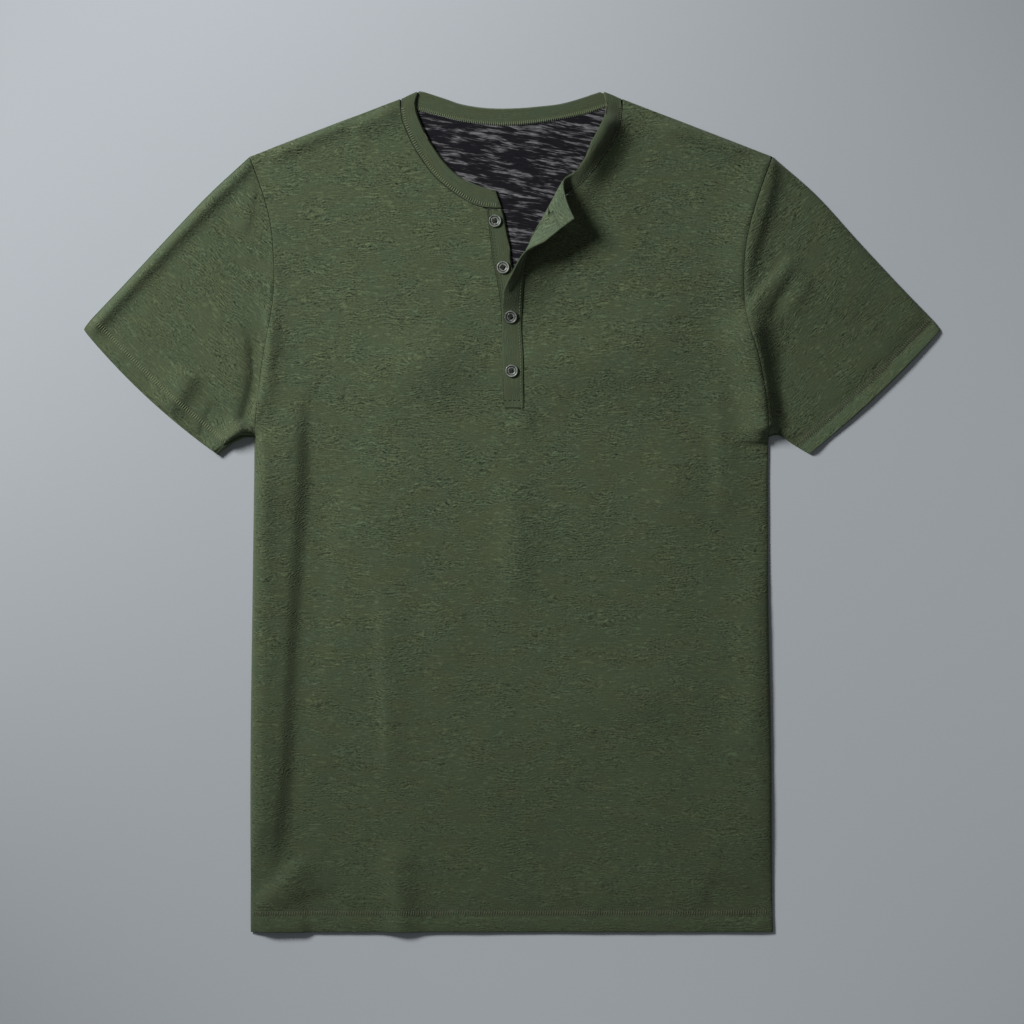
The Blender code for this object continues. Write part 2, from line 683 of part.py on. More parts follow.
def make_button(button, mat):
    """Turned button with a raised rim, a dished middle and four holes."""
    profile = ((0.0, 0.75), (3.3, 0.75), (4.0, 0.25), (4.7, 0.0), (5.3, 0.15), (BUTTON_RADIUS, 0.8),
               (BUTTON_RADIUS - 0.25, 1.5), (4.2, BUTTON_THICK), (0.0, BUTTON_THICK))
    count = 22
    verts = [(0.0, 0.0, -profile[0][1])]
    for r, depth in profile[1:-1]:
        for k in range(count):
            a = 2 * math.pi * k / count
            verts.append((r * math.cos(a), r * math.sin(a), -depth))
    verts.append((0.0, 0.0, -profile[-1][1]))
    faces = []
    for k in range(count):
        n = (k + 1) % count
        faces.append((0, 1 + k, 1 + n))
        for r in range(len(profile) - 3):
            a, b = 1 + r * count + k, 1 + r * count + n
            faces.append((a, a + count, b + count, b))
        last = 1 + (len(profile) - 3) * count
        faces.append((last + k, len(verts) - 1, last + n))
    verts = np.array(verts) + (0.0, 0.0, BUTTON_THICK)
    obj = make_object(button.name, verts, faces, mat)
    for sx in (-1, 1):
        for sy in (-1, 1):
            bpy.ops.mesh.primitive_cylinder_add(
                vertices=8, radius=BUTTON_HOLE_RADIUS * MM, depth=8 * MM,
                location=(sx * BUTTON_HOLE_PITCH * MM, sy * BUTTON_HOLE_PITCH * MM, 0.0))
            cutter = bpy.context.active_object
            cut = obj.modifiers.new("hole", "BOOLEAN")
            cut.operation = "DIFFERENCE"
            cut.solver = "EXACT"
            cut.object = cutter
            bpy.context.view_layer.objects.active = obj
            bpy.ops.object.modifier_apply(modifier="hole")
            bpy.data.objects.remove(cutter, do_unlink=True)
    c, s = math.cos(button.tilt), math.sin(button.tilt)
    for v in obj.data.vertices:
        x, y, z = v.co
        v.co = (x * c - y * s + button.x * MM, x * s + y * c + button.y * MM,
                z + (button.seat + BUTTON_SEAT_GAP) * MM)
    return obj


def main():
    """Build every piece of the shirt."""
    for obj in list(bpy.data.objects):
        bpy.data.objects.remove(obj, do_unlink=True)
    green = make_material("green_jersey", GREEN, 0.9)
    band = make_material("green_band", GREEN_BAND, 0.9)
    marl = make_material("marl_backed_jersey", MARL, 0.9)
    grey = make_material("button_grey", BUTTON_GREY, 0.35)
    make_front(green)
    make_back(marl)
    make_sleeve("sleeve_right", column(ARMHOLES, "left"), RIGHT_SLEEVE_TOP, RIGHT_SLEEVE_UNDER, -1.0, green)
    make_sleeve("sleeve_left", column(ARMHOLES, "right"), LEFT_SLEEVE_TOP, LEFT_SLEEVE_UNDER, 1.0, green)
    make_neckband(band)
    make_strip("placket_under", UNDER_STRIP, UNDER_MID, UNDER_THICK, 9.0, False, band)
    make_strip("placket_over", OVER_STRIP, OVER_MID, OVER_THICK, 4.5, True, band)
    for button in BUTTONS:
        make_button(button, grey)


main()
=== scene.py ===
"""Henley shirt laid flat, placket open at the top: cloth, stitching, buttons and finishes.

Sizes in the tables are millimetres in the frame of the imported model. Meshes are in metres.
"""

import json
import logging
import math
from collections.abc import Sequence
from dataclasses import dataclass, field
from enum import Enum
from typing import Any, NamedTuple

import bpy
import numpy as np
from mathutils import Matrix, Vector, geometry, noise
from mathutils.bvhtree import BVHTree

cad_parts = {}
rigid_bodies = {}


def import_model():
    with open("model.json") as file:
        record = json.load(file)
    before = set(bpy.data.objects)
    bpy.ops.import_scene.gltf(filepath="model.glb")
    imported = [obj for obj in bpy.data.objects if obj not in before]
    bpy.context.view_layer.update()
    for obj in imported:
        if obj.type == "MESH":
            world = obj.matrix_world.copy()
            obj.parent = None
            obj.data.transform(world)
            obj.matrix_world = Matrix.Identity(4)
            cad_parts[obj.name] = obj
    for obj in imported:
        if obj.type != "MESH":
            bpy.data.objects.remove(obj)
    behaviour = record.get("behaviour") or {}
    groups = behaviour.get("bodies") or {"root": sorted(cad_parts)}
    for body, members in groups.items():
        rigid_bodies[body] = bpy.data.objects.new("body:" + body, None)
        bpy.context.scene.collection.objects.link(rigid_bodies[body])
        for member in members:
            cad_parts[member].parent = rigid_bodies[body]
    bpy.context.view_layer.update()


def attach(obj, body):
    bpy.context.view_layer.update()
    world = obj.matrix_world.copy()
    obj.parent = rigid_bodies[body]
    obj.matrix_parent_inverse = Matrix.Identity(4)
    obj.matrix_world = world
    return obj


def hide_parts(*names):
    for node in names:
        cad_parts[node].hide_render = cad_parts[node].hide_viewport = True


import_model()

LOG = logging.getLogger("henley")
MM = 0.001
Array = np.ndarray
Colour = tuple[float, float, float]
Faces = list[tuple[int, ...]]
Inputs = dict[int | str, Any]
Line = tuple[Array, Array]
Solid = tuple[Array, Faces]
Thing = bpy.types.Object
Material = bpy.types.Material

# Thickness of each cloth, and how high its middle lies above the floor.
CLOTH = 1.0
BACK_MID = 0.5
FRONT_MID = 3.2
FRONT_EDGE_MID = 1.65
BAND_THICK = 1.5
BAND_MID = 3.45
BAND_BACK_MID = 0.78
UNDER_THICK = 1.3
UNDER_MID = 2.95
OVER_THICK = 1.4
OVER_MID = 4.65
SHEET_HALF = 0.42

# How the upper layer comes down at its folded edges and its hem, and how its creases are read.
EDGE_ROLL = 9.0
SIDE_BLUNT = 3.0
SIDE_ROLL = 13.0
SIDE_BLEND = 20.0
HEM_ROLL = 5.0
HEM_SINK = 0.5
BODY_HALF = 235.0
CREASE_GAIN = 1.08
CREASE_ROOM = 2.6
LEAST_RISE = 0.4

# Meshes: steps along outlines, the gap at a seam, and the shape of a rim.
STEP = 2.65
STRIP_STEP = 2.2
SEAM_GAP = 0.35
RIM_INSET = 0.14
RIM_RISE = 0.55
RIM_BACK = 0.2

# Stitching: from a row of rungs to the needle rows beside it, and how far each stands off the cloth.
ROW_OFFSET = 2.9
RUNG_LIFT = 0.05
ROW_LIFT = 0.02

# The wearer's right and left: which way is out, and the column of the tables.
OUTWARD = (-1.0, 1.0)
COLUMNS = ("left", "right")
BENDS = np.radians([22.0, 55.0, 90.0, 125.0, 158.0])


class Point(NamedTuple):
    """A place in plan."""

    x: float
    y: float


class Side(NamedTuple):
    """Both edges of the body at one height."""

    y: float
    left: float
    right: float


class Strip(NamedTuple):
    """Both edges of a placket strip at one height, and how far its free edge stands up."""

    y: float
    free: float
    seam: float
    stand: float = 0.0


class Section(NamedTuple):
    """Free edge and seam edge of the neckband at one place, and how far the free edge stands up."""

    free_x: float
    free_y: float
    seam_x: float
    seam_y: float
    stand: float = 0.0


class Crease(NamedTuple):
    """A soft crest or trough along a path, its height and its reach to the left and right of the way."""

    path: tuple[tuple[float, float], ...]
    height: float
    left: float
    right: float
    ends: tuple[float, float] = (0.25, 0.25)


class Swell(NamedTuple):
    """A broad rise or hollow: its middle, its reach across and along, and its height."""

    x: float
    y: float
    across: float
    along: float
    height: float


class Turn(NamedTuple):
    """How far the corner has turned, in degrees, at a distance along its crest."""

    along: float
    angle: float


class Mound(NamedTuple):
    """How high the cloth stands along the crest at a distance along it."""

    along: float
    height: float


class ButtonPlace(NamedTuple):
    """Where a button sits, whether on the over strip, and its turn."""

    node: str
    x: float
    y: float
    over: bool
    turn: float


class Ridge(NamedTuple):
    """A ridge or dip beside a line: its height, the place of its middle and its width."""

    height: float
    place: float
    width: float

    def level(self, distance: Array) -> Array:
        """Its height at each distance from the line."""
        return self.height * bell(distance, self.place, self.width)


class Lumps(NamedTuple):
    """Uneven cloth: height, squeeze across and along, size of a lump, and seed."""

    height: float
    across: float
    along: float
    size: float
    seed: float

    def level(self, xy: Array) -> Array:
        """Its height at each point."""
        places = xy * (self.across / self.size, self.along / self.size)
        return self.height * np.array([noise.noise((x, y, self.seed)) for x, y in places])


def rows_of(kind: type, values: Sequence[tuple[Any, ...]]) -> tuple[Any, ...]:
    """Rows of a table as named values."""
    return tuple(kind(*value) for value in values)


# Edges of the body and of the sleeves, from the hem up and from the armholes out.
SIDES = rows_of(Side, (
    (-369.3, -229.6, 229.6), (-341, -229.6, 228.8), (-209, -229.6, 227.9), (-77, -227.9, 225.3),
    (30, -226.4, 224.6), (66, -226.2, 225.3),
))
ARMHOLES = rows_of(Side, (
    (66, -226.2, 225.3), (98.6, -223.3, 223.1), (133.8, -219.3, 216.9), (169, -212.5, 206.4),
    (200.6, -209.1, 203.8), (230.6, -209.8, 204.9), (257, -212.8, 210.1), (283.4, -220, 218.2),
    (312.4, -230.6, 228.6),
))
RIGHT_SLEEVE_TOP = rows_of(Point, (
    (-230.6, 312.4), (-266.6, 279), (-304.5, 239.4), (-341.4, 199.8), (-371.4, 168.1), (-376.6, 160.2),
))
RIGHT_SLEEVE_UNDER = rows_of(Point, (
    (-226.2, 66), (-236.4, 64.8), (-247.4, 58.8), (-258.7, 50.2),
))
LEFT_SLEEVE_TOP = rows_of(Point, (
    (228.6, 312.4), (266.6, 279), (302.7, 239.4), (339.7, 199.8), (371.4, 167), (376.6, 159.3),
))
LEFT_SLEEVE_UNDER = rows_of(Point, (
    (225.3, 66), (234.1, 67.8), (247, 59.5), (261.4, 51),
))
CUFF_BOW = 3.0

# Neckband, from the button edge round the back to the buttonhole edge.
BAND_RIGHT = rows_of(Section, (
    (-14.3, 283, -9.1, 267.1), (-22.9, 284.9, -26.4, 268.4), (-33.4, 288.6, -39.6, 273.7),
    (-46.8, 295.7, -55.4, 284.2), (-58.1, 306.7, -68.6, 296.1), (-66.4, 317.7, -78.3, 308.9),
    (-73.9, 329.5, -86.7, 322.1), (-79.6, 341.4, -92.8, 335.3), (-83.3, 351.1, -96.4, 345),
    (-84.8, 359.9, -97.7, 353.8),
))
BAND_BACK = rows_of(Section, (
    (-81.4, 370.3, -91.5, 358.2), (-77.4, 369.6, -84, 354.2), (-71.3, 367.7, -75.7, 352.2),
    (-58.5, 363.6, -62.5, 348.9), (-44.9, 359, -48.4, 345.1), (-27.3, 356, -29, 342.1),
    (-10.6, 355.1, -10.6, 340.6), (7, 355.5, 7.9, 341.4), (24.6, 357, 26.4, 343.6),
    (41.4, 359, 44.4, 346.7), (57.2, 363, 61.6, 350.2), (70.4, 367.4, 75.7, 354.6),
    (77.4, 369.6, 86.2, 358.2),
))
BAND_LEFT = rows_of(Section, (
    (82.3, 359.9, 96.8, 353.8, 1.6), (81.4, 349.4, 95, 342.3, 4.5), (77.4, 338.8, 90.6, 330, 8),
    (71.7, 327.8, 83.6, 317.7, 9), (65.6, 317.7, 76.6, 307.1, 9.5), (58.5, 307.6, 68.6, 296.6, 7.5),
    (50.6, 298.8, 58.5, 286, 3), (41.4, 293.5, 47.1, 277.6), (29.9, 288.6, 33.9, 271),
    (16.7, 285.1, 18.5, 267.5), (3.5, 283.8, 2, 266.6),
))
SHOULDER_RIGHT = (0.38, -0.92)
SHOULDER_LEFT = (-0.38, -0.92)
NECK_RIGHT = Section(-83.6, 369.6, -97.7, 363.4)
NECK_LEFT = Section(81.0, 369.6, 96.4, 363.4, 0.4)

# Placket strips, from the foot up.
UNDER_STRIP = rows_of(Strip, (
    (92.6, 8.4, -6.6), (147, 7.5, -7.9), (182.2, 6.2, -9.7), (199.8, 4, -12.1), (220, -0.3, -16.3),
    (235, -1.9, -18.2), (248.2, -4.4, -19.6), (260, -6.7, -20.9), (266.2, -8.7, -21.6),
))
OVER_STRIP = rows_of(Strip, (
    (92.6, -6.7, 10.3), (116.2, -7.5, 9.9), (139, -8.4, 9.6), (161.9, -8.9, 8.2, 0.2), (171, -8.8, 8.4, 1),
    (178, -8.6, 8.7, 3.2), (186, -8.3, 9, 6.5), (195.4, -7.9, 9.5, 8.4), (204, -7.2, 10.1, 8),
    (213, -6.3, 10.8, 5.2), (226.2, -4.4, 12.8, 1.2), (237.6, -2.6, 14.5), (251.7, -0.4, 17.2),
    (265.6, 1.6, 20.2),
))

# The turned-back corner, along its crest from the foot.
TURN_FOOT = Point(-8.8, 192.7)
TURN_HEAD = Point(51.0, 300.1)
TURN_RADIUS = 6.2
TURNS = rows_of(Turn, (
    (0, 0), (10.5, 20), (19.5, 46), (31, 76), (42, 96), (48.5, 116), (55.5, 140), (66, 152), (85.5, 160),
    (105, 168), (122, 172), (131, 90), (140, 30), (150, 0),
))
MOUNDS = rows_of(Mound, (
    (-30, 0), (-12, 3), (4, 7), (22, 9.5), (60, 10), (100, 10), (145, 9), (165, 7.5), (180, 4), (193, 0),
))
MOUND_REACH = 22.0

# Sewn lines: how deep the armholes dip at each height, how far in sewn lines are looked for, and the
# ridges beside each line.
ARM_RIGHT_DIP = ((66.0, 132.0, 146.0, 198.0, 212.0, 312.0), (0.0, 0.05, 0.75, 0.6, 0.12, 0.05))
ARM_LEFT_DIP = ((66.0, 150.0, 215.0, 312.0), (0.5, 0.6, 1.0, 0.9))
ARMS_FROM = Point(190.0, 40.0)
CUFFS_FROM = Point(232.0, 20.0)
ARM_DIP = Ridge(-0.85, 0.0, 1.5)
ARM_LIP = Ridge(0.20, 3.6, 1.7)
HEM_SEWN = Ridge(1.0, 0.0, 4.2)
HEM_RIDGES = (Ridge(-0.45, 0.0, 4.2), Ridge(0.22, -9.0, 5.0), Ridge(-0.5, 2.0, 9.0))
CUFF_SEWN = Ridge(1.0, 0.0, 3.6)
CUFF_RIDGES = (Ridge(-0.42, 0.0, 3.6), Ridge(-1.2, 1.0, 8.0))
CUFF_EDGE = Ridge(0.6, -7.0, 6.0)

# Cloth that isn't pressed flat, and the puckers along its stitching.
UNEVEN = (Lumps(0.5, 1.0, 0.72, 70.0, 3.1), Lumps(0.55, 0.9, 0.8, 36.0, 8.7),
          Lumps(0.32, 0.7, 1.3, 15.0, 1.9))
HEM_PUCKER = Lumps(0.34, 1.0, 0.3, 6.5, 2.2)
CUFF_PUCKER = Lumps(0.75, 1.0, 1.0, 8.5, 4.4)
STRIP_LUMPS = Lumps(0.16, 1.0, 0.7, 7.0, 6.1)
STRIP_RIDGES = (Ridge(0.10, 0.3, 0.22), Ridge(-0.24, 0.84, 0.13))

# Creases and swells of the upper layer, from one side to the other.
CREASES = rows_of(Crease, (
    (((-188, 123), (-190, 72), (-191, 28), (-194, -16), (-199, -95), (-202, -157), (-204, -209),
      (-208, -253), (-213, -297), (-220, -333)), 5.6, 10, 30, (0.14, 0.14)),
    (((-179, 112), (-178, 63), (-180, 11), (-183, -42), (-187, -104), (-190, -165), (-192, -218),
      (-195, -262), (-201, -297)), -1.7, 18, 14, (0.14, 0.14)),
    (((-114, -55), (-113, -95), (-111, -148), (-109, -201), (-107, -253)), 2.5, 22, 7),
    (((-106, -287), (-100, -315), (-98, -346), (-96, -387)), 4, 14, 12, (0.25, 0.05)),
    (((-240, -361), (-219, -345), (-198, -325), (-175, -299)), 4.6, 8.5, 18),
    (((-201, -352), (-178, -341), (-147, -335)), -1.1, 5, 16),
    (((-220, -380), (-200, -368), (-176, -362)), 3.6, 16, 16),
    (((-2, 50), (1, 11), (2, -42), (-2, -95)), 1.7, 16, 14),
    (((11, 102), (14, 85), (16, 67)), 1.5, 4, 12),
    (((211, -25), (213, -95), (212, -165), (209, -245)), 1.8, 16, 16),
    (((224, 327), (216, 283), (208, 239), (202, 187), (208, 143), (215, 99)), 2.9, 30, 22, (0.10, 0.25)),
    (((228, 317), (226, 288), (219, 261), (211, 235), (206, 209), (204, 187)), 3.8, 7, 20, (0.10, 0.25)),
    (((241, 305), (240, 275), (232, 244), (222, 220), (216, 200)), -1.5, 16, 16),
    (((202, 167), (215, 185), (225, 198), (236, 210), (250, 227)), 5.4, 4, 18),
    (((226, 167), (232, 182), (242, 198), (250, 213)), -1.7, 4, 8),
    (((203, 187), (209, 165), (214, 138), (219, 103), (224, 60)), 8.5, 12, 17, (0.25, 0.05)),
    (((215, 122), (218, 104), (221, 84), (223, 68)), 5, 10, 16, (0.5, 0.10)),
    (((201, 180), (207, 160), (213, 138), (218, 112), (222, 86)), 2.8, 14, 42, (0.3, 0.45)),
    (((231, 169), (233, 143), (238, 107), (250, 72)), -1.5, 18, 19, (0.25, 0.05)),
    (((238, 171), (247, 185), (255, 197), (262, 211)), 2.6, 7, 10),
    (((-255, 187), (-241, 171), (-231, 158), (-224, 143)), 0.6, 4, 18),
    (((-238, 170), (-231, 156), (-227, 143), (-227, 116), (-231, 98), (-235, 84), (-242, 71)),
      -3.2, 8, 5.5, (0.3, 0.12)),
    (((-220, 187), (-213, 162), (-213, 141), (-217, 116), (-222, 95), (-229, 76)),
      3.4, 11, 2.8, (0.25, 0.12)),
    (((-206, 142), (-208, 130), (-211, 116)), -1.3, 5, 5, (0.4, 0.4)),
    (((-308, 83), (-296, 97), (-287, 112), (-278, 128)), 5, 16, 10),
    (((-278, 60), (-272, 70), (-266, 85), (-260, 99)), -1.6, 4, 18),
    (((-253, 56), (-241, 69), (-234, 79)), 7.1, 9, 18),
    (((-374, 157), (-349, 185), (-316, 221), (-280, 259), (-252, 289), (-228, 316)),
      6, 4.5, 8.5, (0.06, 0.08)),
    (((-374, 157), (-349, 185), (-316, 221), (-280, 259), (-252, 289), (-228, 316)), 4, 5, 62, (0.2, 0.25)),
    (((-220, 312), (-187, 327), (-156, 340), (-132, 350)), 5, 18, 8),
    (((-147, 336), (-129, 343), (-99, 358)), 4, 4, 12),
    (((125, 347), (156, 335), (186, 324), (217, 312)), 5.5, 4.5, 8),
    (((165, -333), (192, -341), (223, -355)), -2.2, 16, 12),
    (((-224, 55), (-225, -77), (-227, -209), (-229, -306)), 4.3, 16, 4, (0.10, 0.10)),
    (((182, 125), (183, 81), (185, 19), (181, -16)), 2.1, 16, 10),
    (((-211, 244), (-209, 195), (-213, 151), (-216, 107)), 0.8, 6, 8),
    (((-228, 292), (-231, 270), (-237, 239)), 1.1, 4, 9),
    (((-167, 81), (-169, 28), (-174, -42), (-180, -113), (-181, -165)), -1.5, 16, 4),
    (((88, 353), (87, 340), (82, 322), (71, 300), (62, 285)), 6.6, 11, 13, (0.2, 0.30)),
    (((-7, 89.3), (2, 88.8), (11, 89.3)), 1.2, 1.4, 5, (0.2, 0.2)),
    (((-226.5, 82), (-226, 40), (-225, 0), (-224.5, -50), (-225, -110)), 2.8, 14, 4, (0.30, 0.55)),
    (((-217, 92), (-218, 50), (-220, 10), (-222, -40)), 3.4, 30, 5, (0.3, 0.45)),
))
SWELLS = rows_of(Swell, (
    (-240, 110, 24, 48, 2.2), (-80, 130, 36, 26, 6), (60, 129, 52, 28, 5.2), (-112, -25, 35, 79, 2),
    (9, -16, 21, 53, 1.6), (220, -139, 19, 97, 1.5), (229, -271, 48, 53, 2.7), (141, 11, 30, 38, 2.9),
    (126, 160, 48, 48, 3.2), (104, -165, 47, 30, 3.2), (-28, -218, 39, 46, 1), (77, -280, 54, 48, -1.5),
    (-151, 239, 53, 53, -1.5), (-63, 231, 51, 48, -1.5), (130, 266, 33, 51, -1.5), (-301, 160, 51, 51, 2),
    (-261, 125, 30, 48, 1.5), (280, 187, 31, 26, 2.8), (271, 116, 30, 36, -1.5), (-63, -113, 26, 51, 1.5),
    (-151, -253, 31, 53, -1.5), (-160, 72, 35, 48, -1.5),
))

BUTTONS = rows_of(ButtonPlace, (
    ("button_1", -15, 255.9, False, 0.3), ("button_2", -7.9, 215, False, 1),
    ("button_3", -1.1, 171, True, 0.6), ("button_4", -0.3, 123.9, True, 0.1),
))


def smooth_curve(points: Sequence[Sequence[float]] | Array, step: float) -> Array:
    """Catmull-Rom curve through points.

    Args:
        points: Places of any dimension; the first two numbers are the plan.
        step: Rough length of each piece.

    Returns:
        The points of the curve, the last one included.
    """
    p = np.array(points, float)
    ext = np.vstack([2 * p[0] - p[1], p, 2 * p[-1] - p[-2]])
    out = []
    for i in range(len(p) - 1):
        a, b, c, d = ext[i:i + 4]
        count = max(1, round(float(np.linalg.norm(c[:2] - b[:2])) / step))
        for k in range(count):
            t = k / count
            out.append(0.5 * (2 * b + (c - a) * t + (2 * a - 5 * b + 4 * c - d) * t * t
                              + (3 * b - a - 3 * c + d) * t ** 3))
    out.append(p[-1])
    return np.array(out)


def unit(ways: Array) -> Array:
    """Vectors shortened or drawn out to a length of one."""
    return ways / np.maximum(np.linalg.norm(ways, axis=-1, keepdims=True), 1e-9)


def leftward(ways: Array) -> Array:
    """Directions in plan turned a quarter to the left."""
    return np.column_stack([-ways[:, 1], ways[:, 0]])


def travelled(points: Array) -> Array:
    """Distance along a run to each of its points."""
    return np.concatenate([[0.0], np.cumsum(np.linalg.norm(np.diff(points, axis=0), axis=1))])


def offset_curve(points: Sequence[Sequence[float]] | Array, distance: float) -> Array:
    """Move a run of plan points to the left of its direction by a distance."""
    p = np.asarray(points, float)
    return p + distance * leftward(unit(np.gradient(p, axis=0)))


def along_path(points: Array, fractions: Array) -> Array:
    """Points of any dimension at fractions of a path's length."""
    p = np.asarray(points, float)
    length = travelled(p)
    s = np.asarray(fractions) * length[-1]
    return np.column_stack([np.interp(s, length, p[:, k]) for k in range(p.shape[1])])


def column(table: Sequence[Any], name: str) -> list[tuple[float, float]]:
    """One column of a table with the row's height, as plan points."""
    return [(getattr(row, name), row.y) for row in table]


def segment_distance(xy: Array, a: Sequence[float], b: Sequence[float]) -> Line:
    """Distance of each point from a segment, and how far along it the nearest spot is."""
    a, b = np.asarray(a, float), np.asarray(b, float)
    ab = b - a
    t = np.clip(((xy - a) @ ab) / max(float(ab @ ab), 1e-12), 0.0, 1.0)
    return np.linalg.norm(xy - (a + t[:, None] * ab), axis=1), t


def beside_path(xy: Array, path: Array) -> tuple[Array, Array, Array]:
    """Place of each point beside a run of segments.

    Args:
        xy: Plan points.
        path: The run.

    Returns:
        Distance from the run, fraction of the way along it, and whether the point is on its left.
    """
    best, along, left = np.full(len(xy), 1e9), np.zeros(len(xy)), np.zeros(len(xy), bool)
    lengths = np.linalg.norm(np.diff(path, axis=0), axis=1)
    done = 0.0
    for a, b, length in zip(path[:-1], path[1:], lengths):
        d, t = segment_distance(xy, a, b)
        near = d < best
        best[near] = d[near]
        along[near] = (done + t[near] * length) / lengths.sum()
        rel = xy - a
        left[near] = ((b[0] - a[0]) * rel[:, 1] - (b[1] - a[1]) * rel[:, 0])[near] > 0.0
        done += length
    return best, along, left


def ease(value: Array) -> Array:
    """Soft step from nought to one."""
    k = np.clip(value, 0.0, 1.0)
    return k * k * (3.0 - 2.0 * k)


def smooth_table(value: Array, table: Sequence[Sequence[float]]) -> Array:
    """Soft interpolation in a table of places and amounts."""
    fine = smooth_curve(table, 3.0)
    return np.interp(value, fine[:, 0], fine[:, 1])


def path_distance(xy: Array, path: Array) -> Array:
    """Distance of each point from a run of segments."""
    best = np.full(len(xy), 1e9)
    for a, b in zip(path[:-1], path[1:]):
        best = np.minimum(best, segment_distance(xy, a, b)[0])
    return best


def inside(xy: Array, loop: Array) -> Array:
    """Which points lie inside a closed loop."""
    x, y = xy[:, 0], xy[:, 1]
    result = np.zeros(len(xy), bool)
    for (ax, ay), (bx, by) in zip(loop, np.roll(loop, -1, axis=0)):
        crosses = (ay > y) != (by > y)
        dy = by - ay if by != ay else 1e-12
        result ^= crosses & (x < (bx - ax) * (y - ay) / dy + ax)
    return result


def bell(distance: Array, centre: float, width: float) -> Array:
    """Smooth bump of height one round a distance."""
    return np.exp(-((distance - centre) / width) ** 2)


def shoelace(loop: Array) -> float:
    """Area of a closed loop."""
    x, y = loop.T
    return 0.5 * abs(float(x @ np.roll(y, -1) - y @ np.roll(x, -1)))


def vertex_normals(points: Array, tris: Array) -> Array:
    """Area-weighted normals of a mesh of triangles."""
    a, b, c = points[tris].transpose(1, 0, 2)
    around = np.cross(b - a, c - a)
    normals = np.zeros_like(points)
    for k in range(3):
        np.add.at(normals, tris[:, k], around)
    return unit(normals)


def grid_triangles(rows: int, cols: int, wrap: bool) -> Array:
    """Triangles of a grid of points; wrap joins the last column to the first."""
    r, c = np.meshgrid(np.arange(rows - 1), np.arange(cols if wrap else cols - 1), indexing="ij")
    r, c = r.ravel(), c.ravel()
    a, b = r * cols + c, r * cols + (c + 1) % cols
    e, f = a + cols, b + cols
    return np.vstack([np.column_stack([a, b, f]), np.column_stack([a, f, e])])


class Face(Enum):
    """Which side of a shell a face is on."""

    OUTER = 0
    INNER = 1
    RIM = 2


@dataclass
class Shell:
    """A closed cloth shell in millimetres, with its layout in metres.

    Attributes:
        sides: Which side each face is on.
        layout: Flat layout of each point, for the pattern of the cloth.
        outer: Points of the outer side, in the order of the middle surface.
        inner: Points of the inner side, in the same order.
        normals: Outward direction of each point of the middle surface.
    """

    verts: Array
    faces: Faces
    sides: list[Face]
    layout: Array
    outer: Array
    inner: Array
    normals: Array


def thicken(points: Array, tris: Array, layout: Array, above: float | Array, below: float | Array,
            inset: float | Array) -> Shell:
    """Closed shell round a middle surface, with a rounded rim wherever the surface ends.

    Args:
        points: Middle surface in millimetres.
        tris: Its triangles.
        layout: Flat layout of each point in metres.
        above: Distance out to the outer side.
        below: Distance in to the inner side.
        inset: How far the rim's shoulders stand back from its edge.

    Returns:
        The shell.
    """
    normals = vertex_normals(points, tris)
    count = len(points)
    above, below, inset = (np.broadcast_to(np.asarray(reach, float), (count,))[:, None]
                           for reach in (above, below, inset))
    sides = np.vstack([tris[:, [0, 1]], tris[:, [1, 2]], tris[:, [2, 0]]]).astype(np.int64)
    paired = np.isin(sides[:, 0] * count + sides[:, 1], sides[:, 1] * count + sides[:, 0])
    a, b = edges = sides[~paired].T
    out = np.zeros_like(points)
    for end in edges:
        np.add.at(out, end, np.cross(points[b] - points[a], normals[end]))
    length = np.linalg.norm(out, axis=1)
    out[length > 0] /= length[length > 0][:, None]
    outer = points + normals * above - out * inset
    inner = points - normals * below - out * inset
    rim = np.unique(edges)
    place = np.full(count, -1)
    place[rim] = np.arange(len(rim))
    mouth = points[rim] - out[rim] * inset[rim] * RIM_BACK
    high = mouth + normals[rim] * above[rim] * RIM_RISE
    low = mouth - normals[rim] * below[rim] * RIM_RISE
    ah, bh = place[a] + 2 * count, place[b] + 2 * count
    al, bl = ah + len(rim), bh + len(rim)
    quads = np.vstack([np.column_stack([b, a, ah, bh]), np.column_stack([bh, ah, al, bl]),
                       np.column_stack([bl, al, a + count, b + count])])
    faces = [tuple(f) for part in (tris, tris[:, ::-1] + count, quads) for f in part.tolist()]
    kinds = [Face.OUTER] * len(tris) + [Face.INNER] * len(tris) + [Face.RIM] * len(quads)
    return Shell(np.vstack([outer, inner, high, low]), faces, kinds,
                 np.vstack([layout, layout, layout[rim], layout[rim]]), outer, inner, normals)


def in_scene(name: str, data: bpy.types.ID) -> Thing:
    """New object with its data, linked to the scene."""
    obj = bpy.data.objects.new(name, data)
    bpy.context.scene.collection.objects.link(obj)
    return obj


def make_object(name: str, verts: Array, faces: Sequence[Sequence[int]],
                materials: Sequence[Material], slots: Sequence[int] | None = None,
                layout: Array | None = None) -> Thing:
    """Smooth mesh object from points in millimetres.

    Args:
        name: Name of the piece.
        verts: Its points.
        faces: Its faces, turned outwards.
        materials: Its finishes.
        slots: Which finish each face has, if there are several.
        layout: Flat layout of each point in metres.

    Returns:
        The object.
    """
    mesh = bpy.data.meshes.new(name)
    mesh.from_pydata((np.asarray(verts) * MM).tolist(), [], faces)
    for mat in materials:
        mesh.materials.append(mat)
    mesh.polygons.foreach_set("use_smooth", [True] * len(mesh.polygons))
    if slots is not None:
        mesh.polygons.foreach_set("material_index", slots)
    if layout is not None:
        uv = mesh.uv_layers.new(name="layout")
        index = np.zeros(len(mesh.loops), np.int32)
        mesh.loops.foreach_get("vertex_index", index)
        uv.data.foreach_set("uv", layout[index].astype(np.float32).ravel())
    mesh.update()
    return in_scene(name, mesh)


